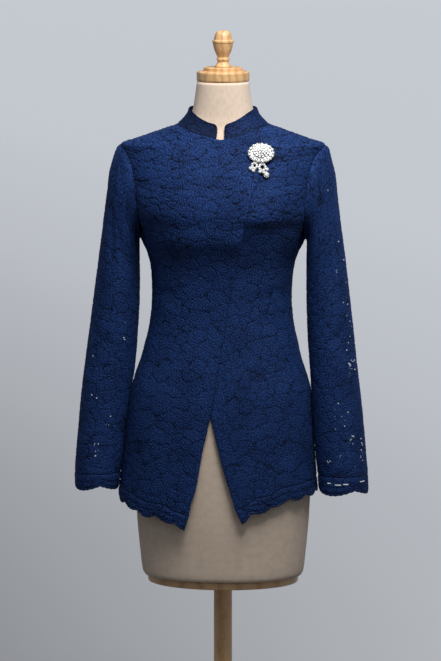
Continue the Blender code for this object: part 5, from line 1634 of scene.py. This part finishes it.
for word, link, singles in (
    ("left", LEFT_LINK, STONES_BY_LEFT_LINK),
    ("right", RIGHT_LINK, STONES_BY_RIGHT_LINK),
):
    across, level, half_width, half_height, hole_width, hole_height, stones = link
    place = on_chest(across, level, LINK_STANDOFF)
    setting, set_stones = Tray(), Tray()
    middle_width, middle_height = (half_width + hole_width) / 2, (half_height + hole_height) / 2
    rings = []
    for step in range(12):
        roll = step * 2 * np.pi / 12
        rings.append(oval_ring(
            place, middle_width + (half_width - hole_width) / 2 * np.cos(roll),
            middle_height + (half_height - hole_height) / 2 * np.cos(roll),
            LINK_THICKNESS / 2 * (1 + np.sin(roll)), LINK_SIDES,
        ))
    setting.band(rings)
    for stone in range(stones):
        turn = 0.2 + stone * 2 * np.pi / stones
        set_stones.stone(
            place, middle_width * np.cos(turn), middle_height * np.sin(turn),
            LINK_THICKNESS * 0.8, LINK_STONE, LINK_STONE_HEIGHT,
        )
        between = turn + np.pi / stones
        setting.bead(
            place, half_width * 0.93 * np.cos(between), half_height * 0.93 * np.sin(between),
            LINK_THICKNESS, BEAD * 0.7,
        )
    for across, up in singles:
        set_stones.stone(place, across, up, LINK_THICKNESS * 0.7, SINGLE_STONE, SINGLE_STONE_HEIGHT)
        setting.band([
            oval_ring(moved(place, across, up), SINGLE_STONE * share, SINGLE_STONE * share, rise, 32)
            for share, rise in SINGLE_CUP
        ])
    setting.made("brooch_" + word + "_link", silver, "silver", "brooch_" + word + "_loop")
    set_stones.made("brooch_" + word + "_link_stones", crystal_painted_brighter, "crystal")
drop_place = on_chest(DROP_ACROSS, DROP_LEVEL, LINK_STANDOFF)
drop_stone, drop_cup = Tray(), Tray()
drop_stone.stone(drop_place, 0.0, 0.0, DROP_FLOOR, DROP_RADIUS, DROP_HEIGHT)
drop_cup.band([
    oval_ring(drop_place, DROP_RADIUS + wider, DROP_RADIUS + wider, rise, 40)
    for wider, rise in DROP_CUP
])
for claw in range(CLAWS):
    turn = claw * 2 * np.pi / CLAWS
    across, up = DROP_RADIUS * CLAW_SHARE * np.cos(turn), DROP_RADIUS * CLAW_SHARE * np.sin(turn)
    drop_cup.bead(drop_place, across, up, CLAW_HEIGHT, BEAD)
drop_stone.made("brooch_drop_stone", crystal_painted_brighter, "crystal", "brooch_stone")
drop_cup.made("brooch_drop_cup", silver, "silver")


# Floor, light and camera. A pale matt floor runs on far behind the stand, and glows more the
# further out it is and towards the wearer's left: painted light, for the studio light falling on
# the floor. One soft light hangs high in front, a little to the wearer's left, and the room gives
# a weak fill, most of it from above.
FLOOR_HALF = 60.0
FLOOR_COLOUR = (0.42, 0.425, 0.44)
# metres of glow gained for each metre to the wearer's left, and the least for each metre out
GLOW_TILT, LEAST_GLOW, LEAST_GLOW_AT_STAND = 2.3, 0.72, -1.2
GLOW_FROM, GLOW_TO = -0.8, 60.0
# share of the way out, colour of the glow, which is painted light
FLOOR_GLOW = (
    (0.0, (0.008, 0.008, 0.006)), (0.033, (0.160, 0.163, 0.166)), (0.064, (0.265, 0.274, 0.286)),
    (0.112, (0.365, 0.380, 0.402)), (0.186, (0.425, 0.443, 0.470)), (0.40, (0.435, 0.455, 0.484)),
    (1.0, (0.450, 0.474, 0.504)),
)
KEY_PLACE, KEY_AIM = (0.34, -0.82, 2.62), (0, 0, 1.1)
KEY_SIZE = 0.8
KEY_POWER = 35.0
ROOM_LIGHT = (0.86, 0.91, 1.0)
ROOM_BELOW, ROOM_ABOVE = 0.05, 0.42
AIM = (-0.00475, 0.0, 0.988)
CAMERA_PLACE = (0.51333, -7.40892, 2.03180)
LENS = 215.0

paper, tree, shader = finish_of("pale_studio_floor", FLOOR_COLOUR, 0.9)
shader.inputs["Specular IOR Level"].default_value = 0.1
where = node(tree, "ShaderNodeTexCoord").outputs["Object"]
from_stand = node(tree, "ShaderNodeVectorMath", [(0, where)], operation="LENGTH").outputs["Value"]
aside = node(tree, "ShaderNodeSeparateXYZ", [("Vector", where)]).outputs["X"]
leant = node(tree, "ShaderNodeMath", [
    (0, aside), (1, GLOW_TILT), (2, from_stand),
], operation="MULTIPLY_ADD")
least = node(tree, "ShaderNodeMath", [
    (0, from_stand), (1, LEAST_GLOW), (2, LEAST_GLOW_AT_STAND),
], operation="MULTIPLY_ADD")
level = node(tree, "ShaderNodeMath", [
    (0, leant.outputs[0]), (1, least.outputs[0]),
], operation="MAXIMUM")
outward = node(tree, "ShaderNodeMapRange", [
    ("Value", level.outputs[0]), ("From Min", GLOW_FROM), ("From Max", GLOW_TO),
])
# Painted light: the floor's glow stands in for the studio light falling on it.
tree.links.new(ramp(tree, outward.outputs[0], FLOOR_GLOW), shader.inputs["Emission Color"])
shader.inputs["Emission Strength"].default_value = 1.0
corners = np.array(((-1, -1, 0), (1, -1, 0), (1, 1, 0), (-1, 1, 0))) * FLOOR_HALF
floor = shown("studio_floor", corners, [np.array(((0, 1, 2, 3),))], paper, smooth=False)
floor.visible_diffuse = False

room = bpy.data.worlds.new("studio_room")
room.use_nodes = True
room.node_tree.nodes["Background"].inputs["Color"].default_value = (*ROOM_LIGHT, 1)
direction = node(room.node_tree, "ShaderNodeTexCoord").outputs["Generated"]
upward = node(room.node_tree, "ShaderNodeSeparateXYZ", [("Vector", direction)]).outputs["Z"]
brightness = node(room.node_tree, "ShaderNodeMapRange", [
    ("Value", upward), ("From Min", -0.4), ("From Max", 1.0),
    ("To Min", ROOM_BELOW), ("To Max", ROOM_ABOVE),
])
room.node_tree.links.new(brightness.outputs[0], room.node_tree.nodes["Background"].inputs["Strength"])
bpy.context.scene.world = room

softbox = bpy.data.lights.new("softbox", "AREA")
softbox.shape = "SQUARE"
softbox.size = KEY_SIZE
softbox.energy = KEY_POWER
softbox_at = bpy.data.objects.new("softbox", softbox)
softbox_at.location = KEY_PLACE
softbox_at.rotation_euler = (Vector(KEY_AIM) - Vector(KEY_PLACE)).to_track_quat("-Z", "Y").to_euler()
softbox_at.visible_camera = False
bpy.context.scene.collection.objects.link(softbox_at)

lens = bpy.data.cameras.new("studio_camera")
lens.lens = LENS
lens.sensor_width = 36.0
lens.clip_end = 200.0
camera = bpy.data.objects.new("studio_camera", lens)
camera.location = CAMERA_PLACE
camera.rotation_euler = (Vector(AIM) - Vector(CAMERA_PLACE)).to_track_quat("-Z", "Y").to_euler()
bpy.context.scene.collection.objects.link(camera)
bpy.context.scene.camera = camera

bpy.context.scene.view_settings.view_transform = "Standard"
